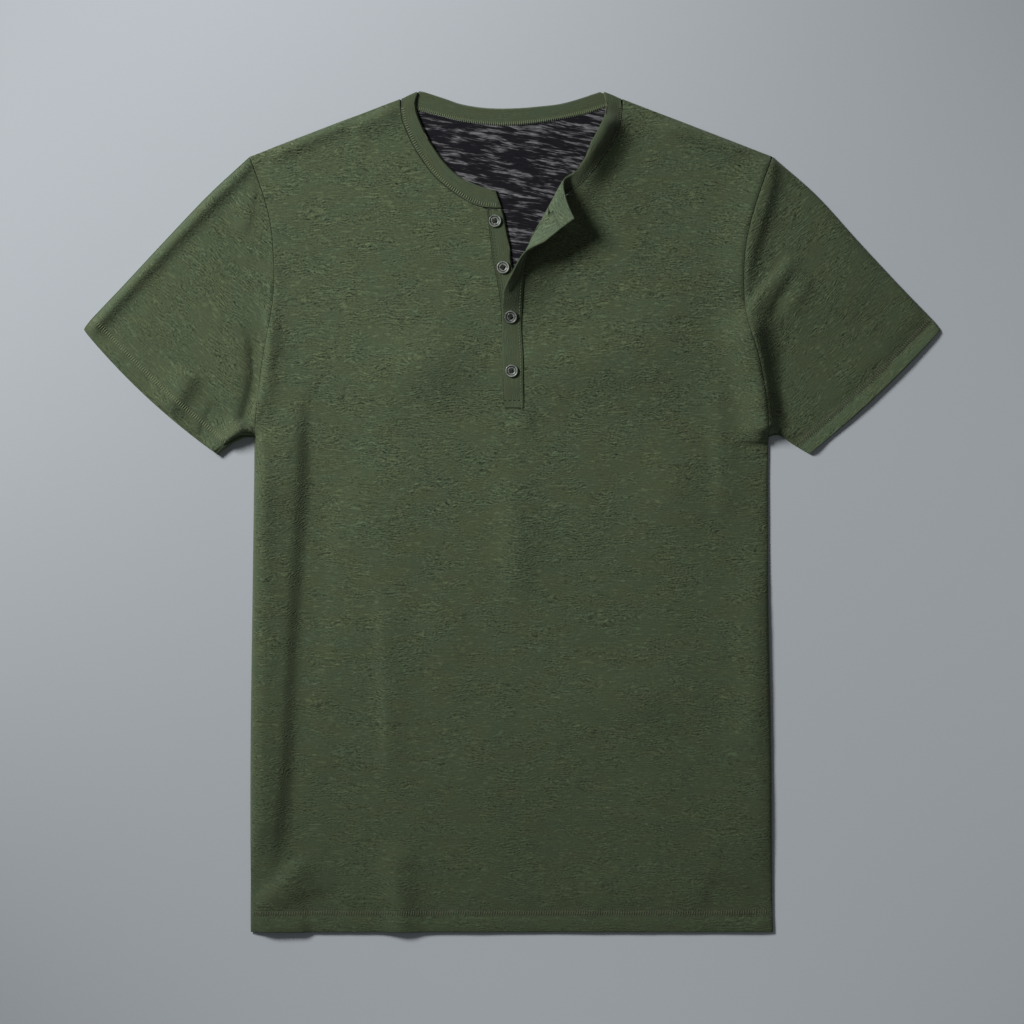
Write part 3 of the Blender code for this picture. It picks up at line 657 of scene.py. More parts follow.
def settle(obj: Thing, slot: str, *nodes: str) -> Thing:
    """Put a finished piece on the body, hide the parts that it stands for and log its size."""
    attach(obj, "root")
    if nodes:
        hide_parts(*nodes)
    LOG.info("%s: %d faces", obj.name, len(obj.data.polygons))
    return obj


def plain_mesh(obj: Thing) -> bpy.types.Mesh:
    """Mesh of an object with its modifiers worked out and taken off."""
    depsgraph = bpy.context.evaluated_depsgraph_get()
    mesh = bpy.data.meshes.new_from_object(obj.evaluated_get(depsgraph), depsgraph=depsgraph)
    obj.modifiers.clear()
    return mesh


class Sock:
    """A shader socket that takes part in Python expressions."""

    def __init__(self, graph: "Graph", socket: bpy.types.NodeSocket) -> None:
        """Keep the graph and the socket."""
        self.graph = graph
        self.socket = socket

    def math(self, operation: str, first: Any, second: Any) -> "Sock":
        """Math node on two values."""
        return self.graph.node("ShaderNodeMath", {"operation": operation}, {0: first, 1: second})

    def __add__(self, other: Any) -> "Sock":
        """Sum."""
        return self.math("ADD", self, other)

    def __radd__(self, other: Any) -> "Sock":
        """Sum, reflected."""
        return self.math("ADD", other, self)

    def __sub__(self, other: Any) -> "Sock":
        """Difference."""
        return self.math("SUBTRACT", self, other)

    def __rsub__(self, other: Any) -> "Sock":
        """Difference, reflected."""
        return self.math("SUBTRACT", other, self)

    def __mul__(self, other: Any) -> "Sock":
        """Product."""
        return self.math("MULTIPLY", self, other)

    def __rmul__(self, other: Any) -> "Sock":
        """Product, reflected."""
        return self.math("MULTIPLY", other, self)

    def sine(self) -> "Sock":
        """Sine of an angle."""
        return self.math("SINE", self, 0.0)

    def least(self, floor: float) -> "Sock":
        """Value, or a floor where it is lower."""
        return self.math("MAXIMUM", self, floor)

    def most(self, roof: float) -> "Sock":
        """Value, or a roof where it is higher."""
        return self.math("MINIMUM", self, roof)

    def smooth(self, low: float, high: float) -> "Sock":
        """Nought below the low value and one above the high one, with a soft step between."""
        return self.graph.node("ShaderNodeMapRange", {"interpolation_type": "SMOOTHSTEP"},
                               {0: self, 1: low, 2: high, 3: 0.0, 4: 1.0})


class Graph:
    """Node tree of one material."""

    def __init__(self, name: str) -> None:
        """Start a material with an empty tree."""
        self.material = bpy.data.materials.new(name)
        self.material.use_nodes = True
        self.tree = self.material.node_tree
        self.tree.nodes.clear()

    def node(self, kind: str, settings: dict[str, Any] | None = None,
             inputs: Inputs | None = None, output: int | str = 0) -> Sock:
        """Add a node.

        Args:
            kind: Node type.
            settings: Properties, set first.
            inputs: Values or sockets by input.
            output: Which output to give back.

        Returns:
            The wrapped output.
        """
        made = self.tree.nodes.new(kind)
        for name, value in (settings or {}).items():
            setattr(made, name, value)
        for name, value in (inputs or {}).items():
            if isinstance(value, Sock):
                self.tree.links.new(value.socket, made.inputs[name])
            else:
                made.inputs[name].default_value = value
        return Sock(self, made.outputs[output])

    def place(self) -> Sock:
        """Place on the piece's own axes."""
        return self.node("ShaderNodeTexCoord", None, None, "Object")

    def part(self, vector: Sock, axis: int) -> Sock:
        """One axis of a vector."""
        return self.node("ShaderNodeSeparateXYZ", None, {0: vector}, axis)

    def layout(self) -> Sock:
        """Place on the cloth laid flat, with the height above the floor third."""
        return self.moved(self.flat(), 0.0, 0.0, self.part(self.place(), 2))

    def flat(self) -> Sock:
        """Place on the piece's own layout."""
        return self.node("ShaderNodeUVMap", {"uv_map": "layout"})

    def moved(self, vector: Sock, x: Any, y: Any, z: Any = 0.0) -> Sock:
        """Vector moved along its axes."""
        shift = self.node("ShaderNodeCombineXYZ", None, {0: x, 1: y, 2: z})
        return self.node("ShaderNodeVectorMath", {"operation": "ADD"}, {0: vector, 1: shift})

    def cloud(self, vector: Sock, along: float, across: float, detail: float = 1.0,
              roughness: float = 0.5) -> Sock:
        """Noise from nought to one.

        Args:
            vector: Place in metres.
            along: Size of a lump along the first axis in millimetres.
            across: Its size along the other two.
            detail: How many finer layers it has.
            roughness: How strong they are.

        Returns:
            The noise.
        """
        scale = (1.0 / (along * MM), 1.0 / (across * MM), 1.0 / (across * MM))
        scaled = self.node("ShaderNodeVectorMath", {"operation": "MULTIPLY"}, {0: vector, 1: scale})
        return self.node("ShaderNodeTexNoise", None,
                         {"Vector": scaled, "Scale": 1.0, "Detail": detail, "Roughness": roughness})

    def blend(self, factor: Any, first: Any, second: Any, how: str = "MIX") -> Sock:
        """Mix of two colours."""
        return self.node("ShaderNodeMix", {"data_type": "RGBA", "blend_type": how},
                         {0: factor, 6: first, 7: second}, 2)

    def shaded(self, colour: Any, value: Sock) -> Sock:
        """Colour darkened or lightened by a number."""
        grey = self.node("ShaderNodeCombineColor", None, {0: value, 1: value, 2: value})
        return self.blend(1.0, colour, grey, "MULTIPLY")

    def relief(self, height: Sock, distance: float) -> Sock:
        """Bump from a height in units of a distance in millimetres."""
        return self.node("ShaderNodeBump", None,
                         {"Strength": 1.0, "Distance": distance * MM, "Height": height})

    def finish(self, inputs: Inputs) -> Material:
        """Close the tree with a Principled shader and give the material back."""
        shader = self.node("ShaderNodeBsdfPrincipled", None, inputs)
        out = self.tree.nodes.new("ShaderNodeOutputMaterial")
        self.tree.links.new(shader.socket, out.inputs["Surface"])
        return self.material


def rgba(colour: Colour) -> tuple[float, float, float, float]:
    """Colour with full alpha."""
    return (*colour, 1.0)


def tinted(colour: Colour, tint: Colour) -> tuple[float, float, float, float]:
    """Colour times a tint, with full alpha."""
    return rgba(tuple(c * t for c, t in zip(colour, tint)))


@dataclass(frozen=True)
class Jersey:
    """Slub jersey in short uneven streaks, with a soft nap.

    Attributes:
        width: From one streak to the next.
        drift: How many widths streaks wander from their line.
        contrast: How much streaks lighten and darken the cloth.
        height: Relief of the streaks.
        patch: How much the tint changes from patch to patch.
        sheen: Tint of the nap.
    """

    name: str
    tone: Colour
    length: float = 5.2
    width: float = 2.5
    drift: float = 5.6
    contrast: float = 1.0
    height: float = 0.17
    patch: float = 0.42
    olive: Colour = (1.07, 0.985, 0.93)
    cool: Colour = (0.93, 1.015, 1.07)
    sheen: Colour = (0.80, 0.88, 0.70)

    def streaks(self, g: Graph, flat: Sock) -> Sock:
        """Wavy streaks that come and go, broken up by flecks, grit and thick slubs."""
        along, across = self.length, self.width
        line = (g.part(flat, 1) + g.part(flat, 2)) * (1.0 / (across * MM))
        bend = g.cloud(flat, 4.6 * along, 2.3 * along) - 0.5
        ripple = g.cloud(flat, along, 0.6 * along) - 0.5
        turns = line + bend * self.drift + ripple * (0.22 * self.drift)
        wave = (turns * (2.0 * math.pi)).sine()
        gate = g.cloud(flat, 0.85 * along, 0.9 * across).smooth(0.40, 0.62)
        fleck = g.cloud(flat, 0.40 * along, 0.46 * across) - 0.5
        grit = g.cloud(flat, 0.33 * along, 0.50 * across, 0.0) - 0.5
        slub = g.cloud(flat, 1.3 * along, 0.75 * across, 0.0).smooth(0.60, 0.80)
        worn = g.cloud(flat, 26.0, 15.0).smooth(0.30, 0.64) * 0.95 + 0.40
        return (wave * gate * 0.7 + fleck * 1.3 + grit * 1.5) * worn + slub * 0.9

    def calm(self, g: Graph) -> Sock:
        """How strong the streaks are: weaker towards the hem and out on the sleeves."""
        across, along = g.part(g.place(), 0), g.part(g.place(), 1)
        return (along * 0.85 + 0.95).most(1.03) * (1.2 - across * across * 4.6).most(1.0)

    def make(self) -> Material:
        """Build the finish."""
        g = Graph(self.name)
        flat = g.layout()
        streak = self.streaks(g, flat) * self.calm(g)
        tint = g.cloud(flat, 30.0, 17.0, 2.0, 0.6).smooth(0.36, 0.64)
        patches = g.blend(tint, tinted(self.tone, self.olive), tinted(self.tone, self.cool))
        ground = g.blend(self.patch, rgba(self.tone), patches)
        return g.finish({"Base Color": g.shaded(ground, streak * (0.52 * self.contrast) + 1.0),
                         "Roughness": 0.92, "Specular IOR Level": 0.18,
                         "Sheen Weight": 0.22, "Sheen Roughness": 0.55, "Sheen Tint": rgba(self.sheen),
                         "Normal": g.relief(streak, self.height)})


@dataclass(frozen=True)
class Marl:
    """Near-black inner face with ragged grey streaks."""

    name: str
    dark: Colour
    pale: Colour
    length: float = 25.0
    width: float = 2.9
    slant: float = 0.17
    height: float = 0.35

    def make(self) -> Material:
        """Build the finish."""
        g = Graph(self.name)
        turned = g.node("ShaderNodeMapping", None, {"Vector": g.layout(), "Rotation": (0.0, 0.0, self.slant)})
        bend = g.cloud(turned, 40.0, 22.0) - 0.5
        ripple = g.cloud(turned, 6.0, 2.5) - 0.5
        line = g.moved(turned, ripple * (3.0 * MM), bend * (5.0 * MM) + ripple * (0.8 * MM))
        wide = g.cloud(line, self.length, self.width, 2.0, 0.6)
        fine = g.cloud(line, self.length * 0.4, self.width * 0.36, 2.0, 0.6)
        clump = g.cloud(turned, 30.0, 9.0) - 0.5
        mask = (wide + (fine - 0.5) * 0.6 + clump * 0.22).smooth(0.49, 0.69)
        tone = g.cloud(line, 5.0, 1.2).smooth(0.3, 0.75) * 0.55 + 0.5
        pale = g.shaded(rgba(self.pale), tone)
        ground = g.shaded(rgba(self.dark), fine * 2.2)
        return g.finish({"Base Color": g.blend(mask, ground, pale), "Roughness": 0.9,
                         "Specular IOR Level": 0.2, "Sheen Weight": 0.08,
                         "Normal": g.relief(mask * 0.6 + fine, self.height)})


@dataclass(frozen=True)
class Thread:
    """Sewing thread with a fine twist."""

    name: str
    tone: Colour
    clump: float = 1.3
    twist: float = 0.35
    height: float = 0.12

    def make(self) -> Material:
        """Build the finish."""
        g = Graph(self.name)
        place = g.place()
        shade = g.cloud(place, self.clump, self.clump)
        twist = g.cloud(place, self.twist, self.twist, 0.0)
        return g.finish({"Base Color": g.shaded(rgba(self.tone), shade * 0.9 + 0.55), "Roughness": 0.7,
                         "Specular IOR Level": 0.3, "Sheen Weight": 0.1,
                         "Normal": g.relief(twist, self.height)})


@dataclass(frozen=True)
class Horn:
    """Smoky button stock with pale clouds, two pale rings on its raised rims, partly paler stock and partly
    painted highlight, and a soft polish.

    Attributes:
        outer_ring: Radii at which the rim's pale ring, partly painted highlight, starts, is full, is full
            still and ends.
        inner_ring: The same of the ring round the middle.
    """

    name: str
    dark: Colour
    pale: Colour
    rim: Colour
    outer_ring: tuple[float, float, float, float] = (4.0, 4.3, 5.25, 5.5)
    inner_ring: tuple[float, float, float, float] = (2.3, 2.5, 3.25, 3.45)
    height: float = 0.04

    def make(self) -> Material:
        """Build the finish."""
        g = Graph(self.name)
        place = g.place()
        radius = g.part(g.flat(), 0) * (1.0 / MM)
        # Pale rings on the raised rims: partly paler stock, partly painted highlight.
        rings = sum(radius.smooth(a, b) * (1.0 - radius.smooth(c, d))
                    for a, b, c, d in (self.outer_ring, self.inner_ring))
        swirl = g.cloud(place, 4.2, 3.2, 3.0, 0.6)
        fleck = g.cloud(place, 0.9, 0.9, 2.0, 0.6)
        mask = (swirl + (fleck - 0.5) * 0.35).smooth(0.36, 0.68)
        stock = g.blend(mask, rgba(self.dark), rgba(self.pale))
        return g.finish({"Base Color": g.blend(rings * (mask * 0.6 + 0.4), stock, rgba(self.rim)),
                         "Roughness": mask * 0.14 + 0.24, "Specular IOR Level": 0.5,
                         "Coat Weight": 0.25, "Coat Roughness": 0.15,
                         "Normal": g.relief(fleck, self.height)})


@dataclass(frozen=True)
class PaintedLightFloor:
    """Pale studio floor with painted light: its colour is painted a little paler away from the light and
    darker in the corners.

    Attributes:
        across: How much paler it is painted to the right, by the metre.
        along: How much paler it is painted upwards, by the metre.
        bowl: How much paler it is painted all round.
        deeper: How much paler it is painted above and below.
        corners: How much painted shade darkens the corners.
        reach: How far out this goes on, in metres.
    """

    name: str
    tone: Colour
    across: float = 0.40
    along: float = -0.365
    bowl: float = 1.0
    deeper: float = 0.47
    corners: float = -6.1
    reach: float = 0.5
    grain: float = 1.4

    def make(self) -> Material:
        """Build the finish."""
        g = Graph(self.name)
        place = g.place()
        x, y = (g.part(place, axis).least(-self.reach).most(self.reach) for axis in (0, 1))
        # Painted light and shade: the floor's colour is made paler in some places and darker in others.
        level = 1.0 + x * self.across + y * self.along + (x * x + y * y) * self.bowl
        level = level + y * y * (x * x * self.corners + self.deeper)
        grain = g.cloud(place, self.grain, self.grain, 2.0, 0.6)
        colour = g.shaded(rgba(self.tone), level * ((grain - 0.5) * 0.05 + 1.0))
        return g.finish({"Base Color": colour, "Roughness": 0.95, "Specular IOR Level": 0.1})


@dataclass(frozen=True)
class Wardrobe:
    """Every finish of the shirt."""

    jersey: Material
    # hem: paler green, painted light on the band of one sleeve hem.
    hem: Material
    band: Material
    facing: Material
    marl: Material
    thread: Material
    hem_thread: Material
    seam_thread: Material
    button: Material
    button_thread: Material

    @classmethod
    def make(cls) -> "Wardrobe":
        """Build the finishes."""
        green = (0.0855, 0.1125, 0.0605)
        return cls(
            jersey=Jersey("green_jersey_cloth", green).make(),
            # Paler green for the hem band of the left sleeve: painted light where that hem catches more of
            # the lamp.
            hem=Jersey("doubled_hem_cloth", (0.108, 0.146, 0.080)).make(),
            band=Jersey("green_band_cloth", (0.078, 0.102, 0.056), length=9.0, width=1.9,
                        drift=3.0, contrast=0.30, height=0.07).make(),
            # Paler green of the inner facing, made paler still as painted light on the turned corner's lit
            # inner side.
            facing=Jersey("pale_facing_cloth", (0.112, 0.150, 0.090), length=8.0, width=2.2,
                          drift=4.0, contrast=0.85, height=0.20).make(),
            marl=Marl("marl_inner_face", (0.0088, 0.0088, 0.0125), (0.25, 0.25, 0.264)).make(),
            thread=Thread("pale_thread", (0.185, 0.225, 0.122)).make(),
            hem_thread=Thread("hem_thread", (0.125, 0.138, 0.085)).make(),
            # Near-black thread of the placket's stitching, also used for beads that paint the shade between
            # ladder rungs.
            seam_thread=Thread("seam_thread", (0.042, 0.052, 0.030)).make(),
            # The third colour is the rings on the raised rims, partly painted highlight.
            button=Horn("smoky_button", (0.018, 0.021, 0.019), (0.085, 0.095, 0.085),
                        (0.34, 0.37, 0.33)).make(),
            # Near-black thread of the buttons, also used for the box stitches as painted shade of the needle
            # holes.
            button_thread=Thread("button_thread", (0.030, 0.036, 0.022)).make(),
        )


@dataclass(frozen=True)
class Studio:
    """Camera straight above, one soft key from the upper left and a weak even fill."""

    camera_height: float = 3.0
    lens: float = 119.85
    sensor: float = 36.0
    clip: tuple[float, float] = (0.1, 60.0)
    key_place: tuple[float, float, float] = (-1.31, 0.95, 1.27)
    key_aim: tuple[float, float, float] = (-0.125, 0.185, 0.0)
    key_size: float = 0.66
    key_spread: float = 1.235
    key_power: float = 5.65
    key_tone: Colour = (1.0, 0.995, 0.985)
    fill: float = 0.082
    fill_tone: Colour = (0.96, 0.98, 1.0)
    floor_size: float = 14.0
    floor_drop: float = 0.15
    floor_tone: Colour = (0.567, 0.609, 0.650)

    def build(self) -> None:
        """Make the camera, the light and the floor."""
        data = bpy.data.cameras.new("camera")
        data.sensor_width = self.sensor
        data.lens = self.lens
        data.clip_start, data.clip_end = self.clip
        camera = in_scene("camera", data)
        camera.location = (0.0, 0.0, self.camera_height)
        bpy.context.scene.camera = camera
        self.light(bpy.context.scene)
        half = self.floor_size / MM / 2
        corners = [(-half, -half), (half, -half), (half, half), (-half, half)]
        floor = make_object("floor", np.array([(x, y, -self.floor_drop) for x, y in corners]),
                            [(0, 1, 2, 3)], [PaintedLightFloor("studio_floor", self.floor_tone).make()])

    def light(self, scene: bpy.types.Scene) -> None:
        """Make the key and the fill."""
        lamp = bpy.data.lights.new("key", "AREA")
        lamp.shape = "DISK"
        lamp.size, lamp.energy, lamp.spread = self.key_size, self.key_power, self.key_spread
        lamp.color = self.key_tone
        key = in_scene("key", lamp)
        key.location = self.key_place
        way = Vector(self.key_aim) - Vector(self.key_place)
        key.rotation_euler = way.to_track_quat("-Z", "Y").to_euler()
        world = bpy.data.worlds.new("fill")
        world.use_nodes = True
        back = world.node_tree.nodes["Background"]
        back.inputs["Color"].default_value = rgba(self.fill_tone)
        back.inputs["Strength"].default_value = self.fill
        scene.world = world
        scene.view_settings.view_transform = "Standard"
        scene.view_settings.look = "None"


@dataclass
class Form:
    """The shirt as it lies: its edges, the level of its upper layer and the turned-back corner.

    Attributes:
        hem_line: Height of the hem stitching above the hem's edge.
        cuff_line: Distance of the sleeve hems' stitching from their edge.
        rolled: Runs of the outline where the cloth rolls over.
        armholes: Both armhole seams.
        cuffs: Both sleeve hems, from the top edge to the underarm.
    """

    hem_line: float = 17.0
    cuff_line: float = 13.2
    rolled: list[Array] = field(init=False)
    armholes: list[Array] = field(init=False)
    cuffs: list[Array] = field(init=False)

    def __post_init__(self) -> None:
        """Work out the runs from the tables."""
        tops, unders = (RIGHT_SLEEVE_TOP, LEFT_SLEEVE_TOP), (RIGHT_SLEEVE_UNDER, LEFT_SLEEVE_UNDER)
        runs = [[*top[::-1], neck[:2]] for top, neck in zip(tops, (NECK_RIGHT, NECK_LEFT))]
        runs += [[*under[::-1], *column(SIDES[::-1], name)[1:]] for under, name in zip(unders, COLUMNS)]
        self.rolled = [np.array(run, float) for run in runs]
        self.armholes = [smooth_curve(column(ARMHOLES, name), 9.0) for name in COLUMNS]
        self.cuffs = [cuff_run(top[-1], under[-1], out) for top, under, out in zip(tops, unders, OUTWARD)]

    def edge(self, xy: Array) -> Array:
        """Distance from the nearest folded edge."""
        return np.minimum.reduce([path_distance(xy, run) for run in self.rolled])

    def folds(self, xy: Array) -> Array:
        """Height of the creases and swells at each point."""
        z = np.zeros(len(xy))
        for crease in CREASES:
            path = smooth_curve(crease.path, 12.0)
            room = CREASE_ROOM * max(crease.left, crease.right)
            near = np.all((xy > path.min(axis=0) - room) & (xy < path.max(axis=0) + room), axis=1)
            d, t, left = beside_path(xy[near], path)
            reach = ease(t / crease.ends[0]) * ease((1.0 - t) / crease.ends[1])
            z[near] += crease.height * bell(d, 0.0, np.where(left, crease.left, crease.right)) * reach
        for swell in SWELLS:
            dx, dy = (xy[:, 0] - swell.x) / swell.across, (xy[:, 1] - swell.y) / swell.along
            z += swell.height * np.exp(-dx * dx - dy * dy)
        return CREASE_GAIN * z

    def unevenness(self, xy: Array) -> Array:
        """Slow rise and fall of cloth that isn't pressed flat."""
        return sum(lumps.level(xy) for lumps in UNEVEN)

    def lie(self, xy: Array) -> Array:
        """How far cloth sewn on the front lies above or below its tabled level."""
        return np.maximum(self.folds(xy) + self.unevenness(xy), -0.5)

    def hemmed(self, xy: Array) -> Array:
        """Which points lie on the doubled cloth of a hem."""
        cuff = np.minimum(*(path_distance(xy, run) for run in self.cuffs))
        return (xy[:, 1] < SIDES[0].y + self.hem_line) | (cuff < self.cuff_line - 1.0)

    def seams(self, xy: Array) -> Array:
        """Dips and ridges along the armholes, the hem and the sleeve hems."""
        z = np.zeros(len(xy))
        for run, out, depths in zip(self.armholes, OUTWARD, (ARM_RIGHT_DIP, ARM_LEFT_DIP)):
            near = (xy[:, 0] * out > ARMS_FROM.x) & (xy[:, 1] > ARMS_FROM.y)
            d = path_distance(xy[near], run)
            x, y = xy[near].T
            body = (x - np.interp(y, run[:, 1], run[:, 0])) * out < 0.0
            sewn = ARM_DIP.level(d) + ARM_LIP.level(d) * np.where(body, 1.0, 0.5)
            z[near] += np.interp(y, *depths) * sewn
        above = xy[:, 1] - SIDES[0].y - self.hem_line
        z += sum(ridge.level(above) for ridge in HEM_RIDGES) + HEM_SEWN.level(above) * HEM_PUCKER.level(xy)
        for run, out in zip(self.cuffs, OUTWARD):
            near = (xy[:, 0] * out > CUFFS_FROM.x) & (xy[:, 1] > CUFFS_FROM.y)
            d = path_distance(xy[near], run) - self.cuff_line
            z[near] += sum(ridge.level(d) for ridge in CUFF_RIDGES)
            z[near] += (CUFF_SEWN.level(d) + CUFF_EDGE.level(d)) * CUFF_PUCKER.level(xy[near])
        return z

    def upper(self, xy: Array) -> Array:
        """Level of the middle of the upper layer."""
        edge = self.edge(xy)
        reaches = (EDGE_ROLL, SIDE_BLUNT, SIDE_ROLL)
        soft, blunt, wide = ((1.0 - np.clip(edge / reach, 0.0, 1.0)) ** 2 for reach in reaches)
        body = np.abs(xy[:, 0]) < BODY_HALF
        side = ease((SIDES[-1].y - xy[:, 1]) / SIDE_BLEND) * body
        roll = 1.0 - (1.0 - side) * soft - side * (blunt + wide) / 2.0
        k = 1.0 - np.clip((xy[:, 1] - SIDES[0].y) / HEM_ROLL, 0.0, 1.0)
        sink = np.where(body, HEM_SINK * (1.0 - np.sqrt(np.clip(1.0 - k * k, 0.0, 1.0))), 0.0)
        rise = FRONT_MID - FRONT_EDGE_MID - sink + self.folds(xy) + self.unevenness(xy)
        low = LEAST_RISE * np.exp(np.minimum(rise - LEAST_RISE, 0.0) / (2.0 * LEAST_RISE))
        level = FRONT_EDGE_MID + np.where(rise > LEAST_RISE, rise, low) * roll
        return np.maximum(level + self.seams(xy) * np.clip(roll * 1.4, 0.0, 1.0), FRONT_EDGE_MID - 0.2)

    def turn(self, points: Array) -> Array:
        """Roll the points beyond the start of the turned-back corner up and over."""
        foot = np.array(TURN_FOOT)
        axis = unit(np.array(TURN_HEAD) - foot)
        side = np.array([axis[1], -axis[0]])
        start = foot + side * TURN_RADIUS
        rel = points[:, :2] - start
        beyond = -(rel @ side)
        along = rel @ axis
        limit = np.radians(np.interp(along, *zip(*TURNS)))
        angle = np.minimum(np.maximum(beyond, 0.0) / TURN_RADIUS, limit)
        rest = np.maximum(beyond - angle * TURN_RADIUS, 0.0)
        level = points[:, 2] - FRONT_MID
        reach = TURN_RADIUS * np.sin(angle) + rest * np.cos(angle) - level * np.sin(angle)
        rise = TURN_RADIUS * (1.0 - np.cos(angle)) + rest * np.sin(angle) + level * np.cos(angle)
        turned = (beyond > 0.0) & (limit > 0.0)
        flat = start + along[:, None] * axis - side * reach[:, None]
        mound = smooth_table(along, MOUNDS)
        out = points.copy()
        out[turned, :2] = flat[turned]
        out[turned, 2] = FRONT_MID + rise[turned]
        out[:, 2] += mound * np.exp(-(np.maximum(-beyond, 0.0) / MOUND_REACH) ** 2)
        return out


def out_of_hem(top: Array, under: Array, outward: float) -> Array:
    """Direction straight out of a sleeve hem that runs from its top edge to the underarm."""
    way = unit(under - top)
    return np.array([way[1], -way[0]]) * -outward


def cuff_run(top: Point, under: Point, outward: float) -> Array:
    """Edge of a sleeve hem from the top edge to the underarm, with its slight bow."""
    a, b = np.array(top, float), np.array(under, float)
    t = np.linspace(0.0, 1.0, 15)[:, None]
    return a + t * (b - a) + np.sin(np.pi * t) * out_of_hem(a, b, outward) * CUFF_BOW


def half_step(run: Array) -> Array:
    """A run without its first bit, so that what it carries falls between its neighbours."""
    return np.vstack([run[0] * 0.42 + run[1] * 0.58, run[1:]])


def body_sides() -> Line:
    """Side, armhole and shoulder of both halves, from the hem up."""
    runs = []
    for name, neck, out in zip(COLUMNS, (NECK_RIGHT, NECK_LEFT), OUTWARD):
        side = smooth_curve(column(SIDES, name), STEP)
        arm = smooth_curve(column(ARMHOLES, name), STEP)
        top = smooth_curve([arm[-1], (neck.seam_x + out * 0.95, neck.seam_y - 0.4)], STEP)
        runs.append(np.vstack([side[:-1], arm[:-1], top]))
    return runs[0], runs[1]


def hem_run(start: Array, end: Array, step: float) -> Array:
    """Level run from one side to the other at about a step, without its ends."""
    count = int((end[0] - start[0]) / step)
    return np.column_stack([np.linspace(start[0], end[0], count)[1:-1], np.full(count - 2, start[1])])


def band_rows(sections: Sequence[Section], step: float = 2.4) -> Array:
    """Rows of the neckband between its tabled sections."""
    return smooth_curve([tuple(s) for s in sections], step)


def hairpin(neck: Section, inward: tuple[float, float], count: int = 9) -> list[tuple[float, ...]]:
    """Rows that carry the neckband over a shoulder fold, from the upper to the lower level."""
    radius = (BAND_MID - BAND_BACK_MID) / 2
    rows = []
    for k in range(1, count + 1):
        angle = math.pi * k / (count + 1) - math.pi / 2
        back = radius * (1.0 - math.cos(angle)) + BAND_THICK / 2
        mid = (BAND_MID + BAND_BACK_MID) / 2 - radius * math.sin(angle)
        rows.append((neck.free_x + inward[0] * back, neck.free_y + inward[1] * back,
                     neck.seam_x + inward[0] * back, neck.seam_y + inward[1] * back,
                     neck.stand * (count - k) / count, mid))
    return rows


def fill_loop(loop: Array, step: float, rows: Sequence[float]) -> Line:
    """Triangles inside a loop, closer together along its edge.

    Args:
        loop: Closed outline, anticlockwise.
        step: Distance between points away from the edge.
        rows: Distances from the edge at which rows of points run.

    Returns:
        The points and the triangles.
    """
    ring = np.vstack([loop, loop[:1]])
    ways = leftward(unit(np.roll(loop, -1, axis=0) - np.roll(loop, 1, axis=0)))
    extra = []
    for d in rows:
        row = loop + d * ways
        ok = inside(row, loop)
        ok[ok] &= path_distance(row[ok], ring) > 0.93 * d
        extra.append(row[ok])
    low, high = loop.min(axis=0) + step / 2, loop.max(axis=0)
    gx, gy = np.meshgrid(np.arange(low[0], high[0], step), np.arange(low[1], high[1], step))
    grid = np.column_stack([gx.ravel(), gy.ravel()])
    grid = grid[inside(grid, loop)]
    grid = grid[path_distance(grid, ring) > rows[-1] + 0.55 * step]
    verts = np.vstack([loop, *extra, grid])
    edges = [(i, (i + 1) % len(loop)) for i in range(len(loop))]
    made = geometry.delaunay_2d_cdt([Vector(v) for v in verts.tolist()], edges, [], 1, 0.001)
    xy = np.array([(v.x, v.y) for v in made[0]])
    tris = np.array(made[2], int)
    tris = tris[inside(xy[tris].mean(axis=1), loop)]
    a, b, c = xy[tris].transpose(1, 0, 2)
    area = (b - a)[:, 0] * (c - a)[:, 1] - (b - a)[:, 1] * (c - a)[:, 0]
    tris[area < 0] = tris[area < 0][:, ::-1]
    return xy, tris


@dataclass(frozen=True)
class Stitch:
    """Size of one stitch and how often it comes.

    Attributes:
        spacing: From one stitch to the next along the line.
        along: Its length along the line.
        across: Its length across the line.
        lean: Turn about its normal in radians.
        jitter: Most that it turns by chance, in radians.
    """

    spacing: float
    along: float
    across: float
    height: float
    lean: float = 0.0
    jitter: float = 0.08


class StitchKind(Enum):
    """The stitches sewn on this shirt."""

    RUNG = Stitch(2.15, 1.0, 5.8, 0.85)
    # Dark beads laid between the rungs of a ladder: painted shade in the gaps between stitches.
    GAP = Stitch(2.15, 0.9, 5.4, 0.35)
    NECK_RUNG = Stitch(2.1, 1.0, 4.4, 0.90)
    EDGE_RUNG = Stitch(1.75, 0.75, 4.6, 0.60)
    NEEDLE = Stitch(2.7, 2.3, 0.55, 0.42)
    TOP = Stitch(2.9, 2.1, 0.75, 0.45)
    # Box stitches at the placket's foot, sewn in near-black thread as painted shade of the needle holes.
    BOX = Stitch(3.3, 2.2, 1.5, 0.5)


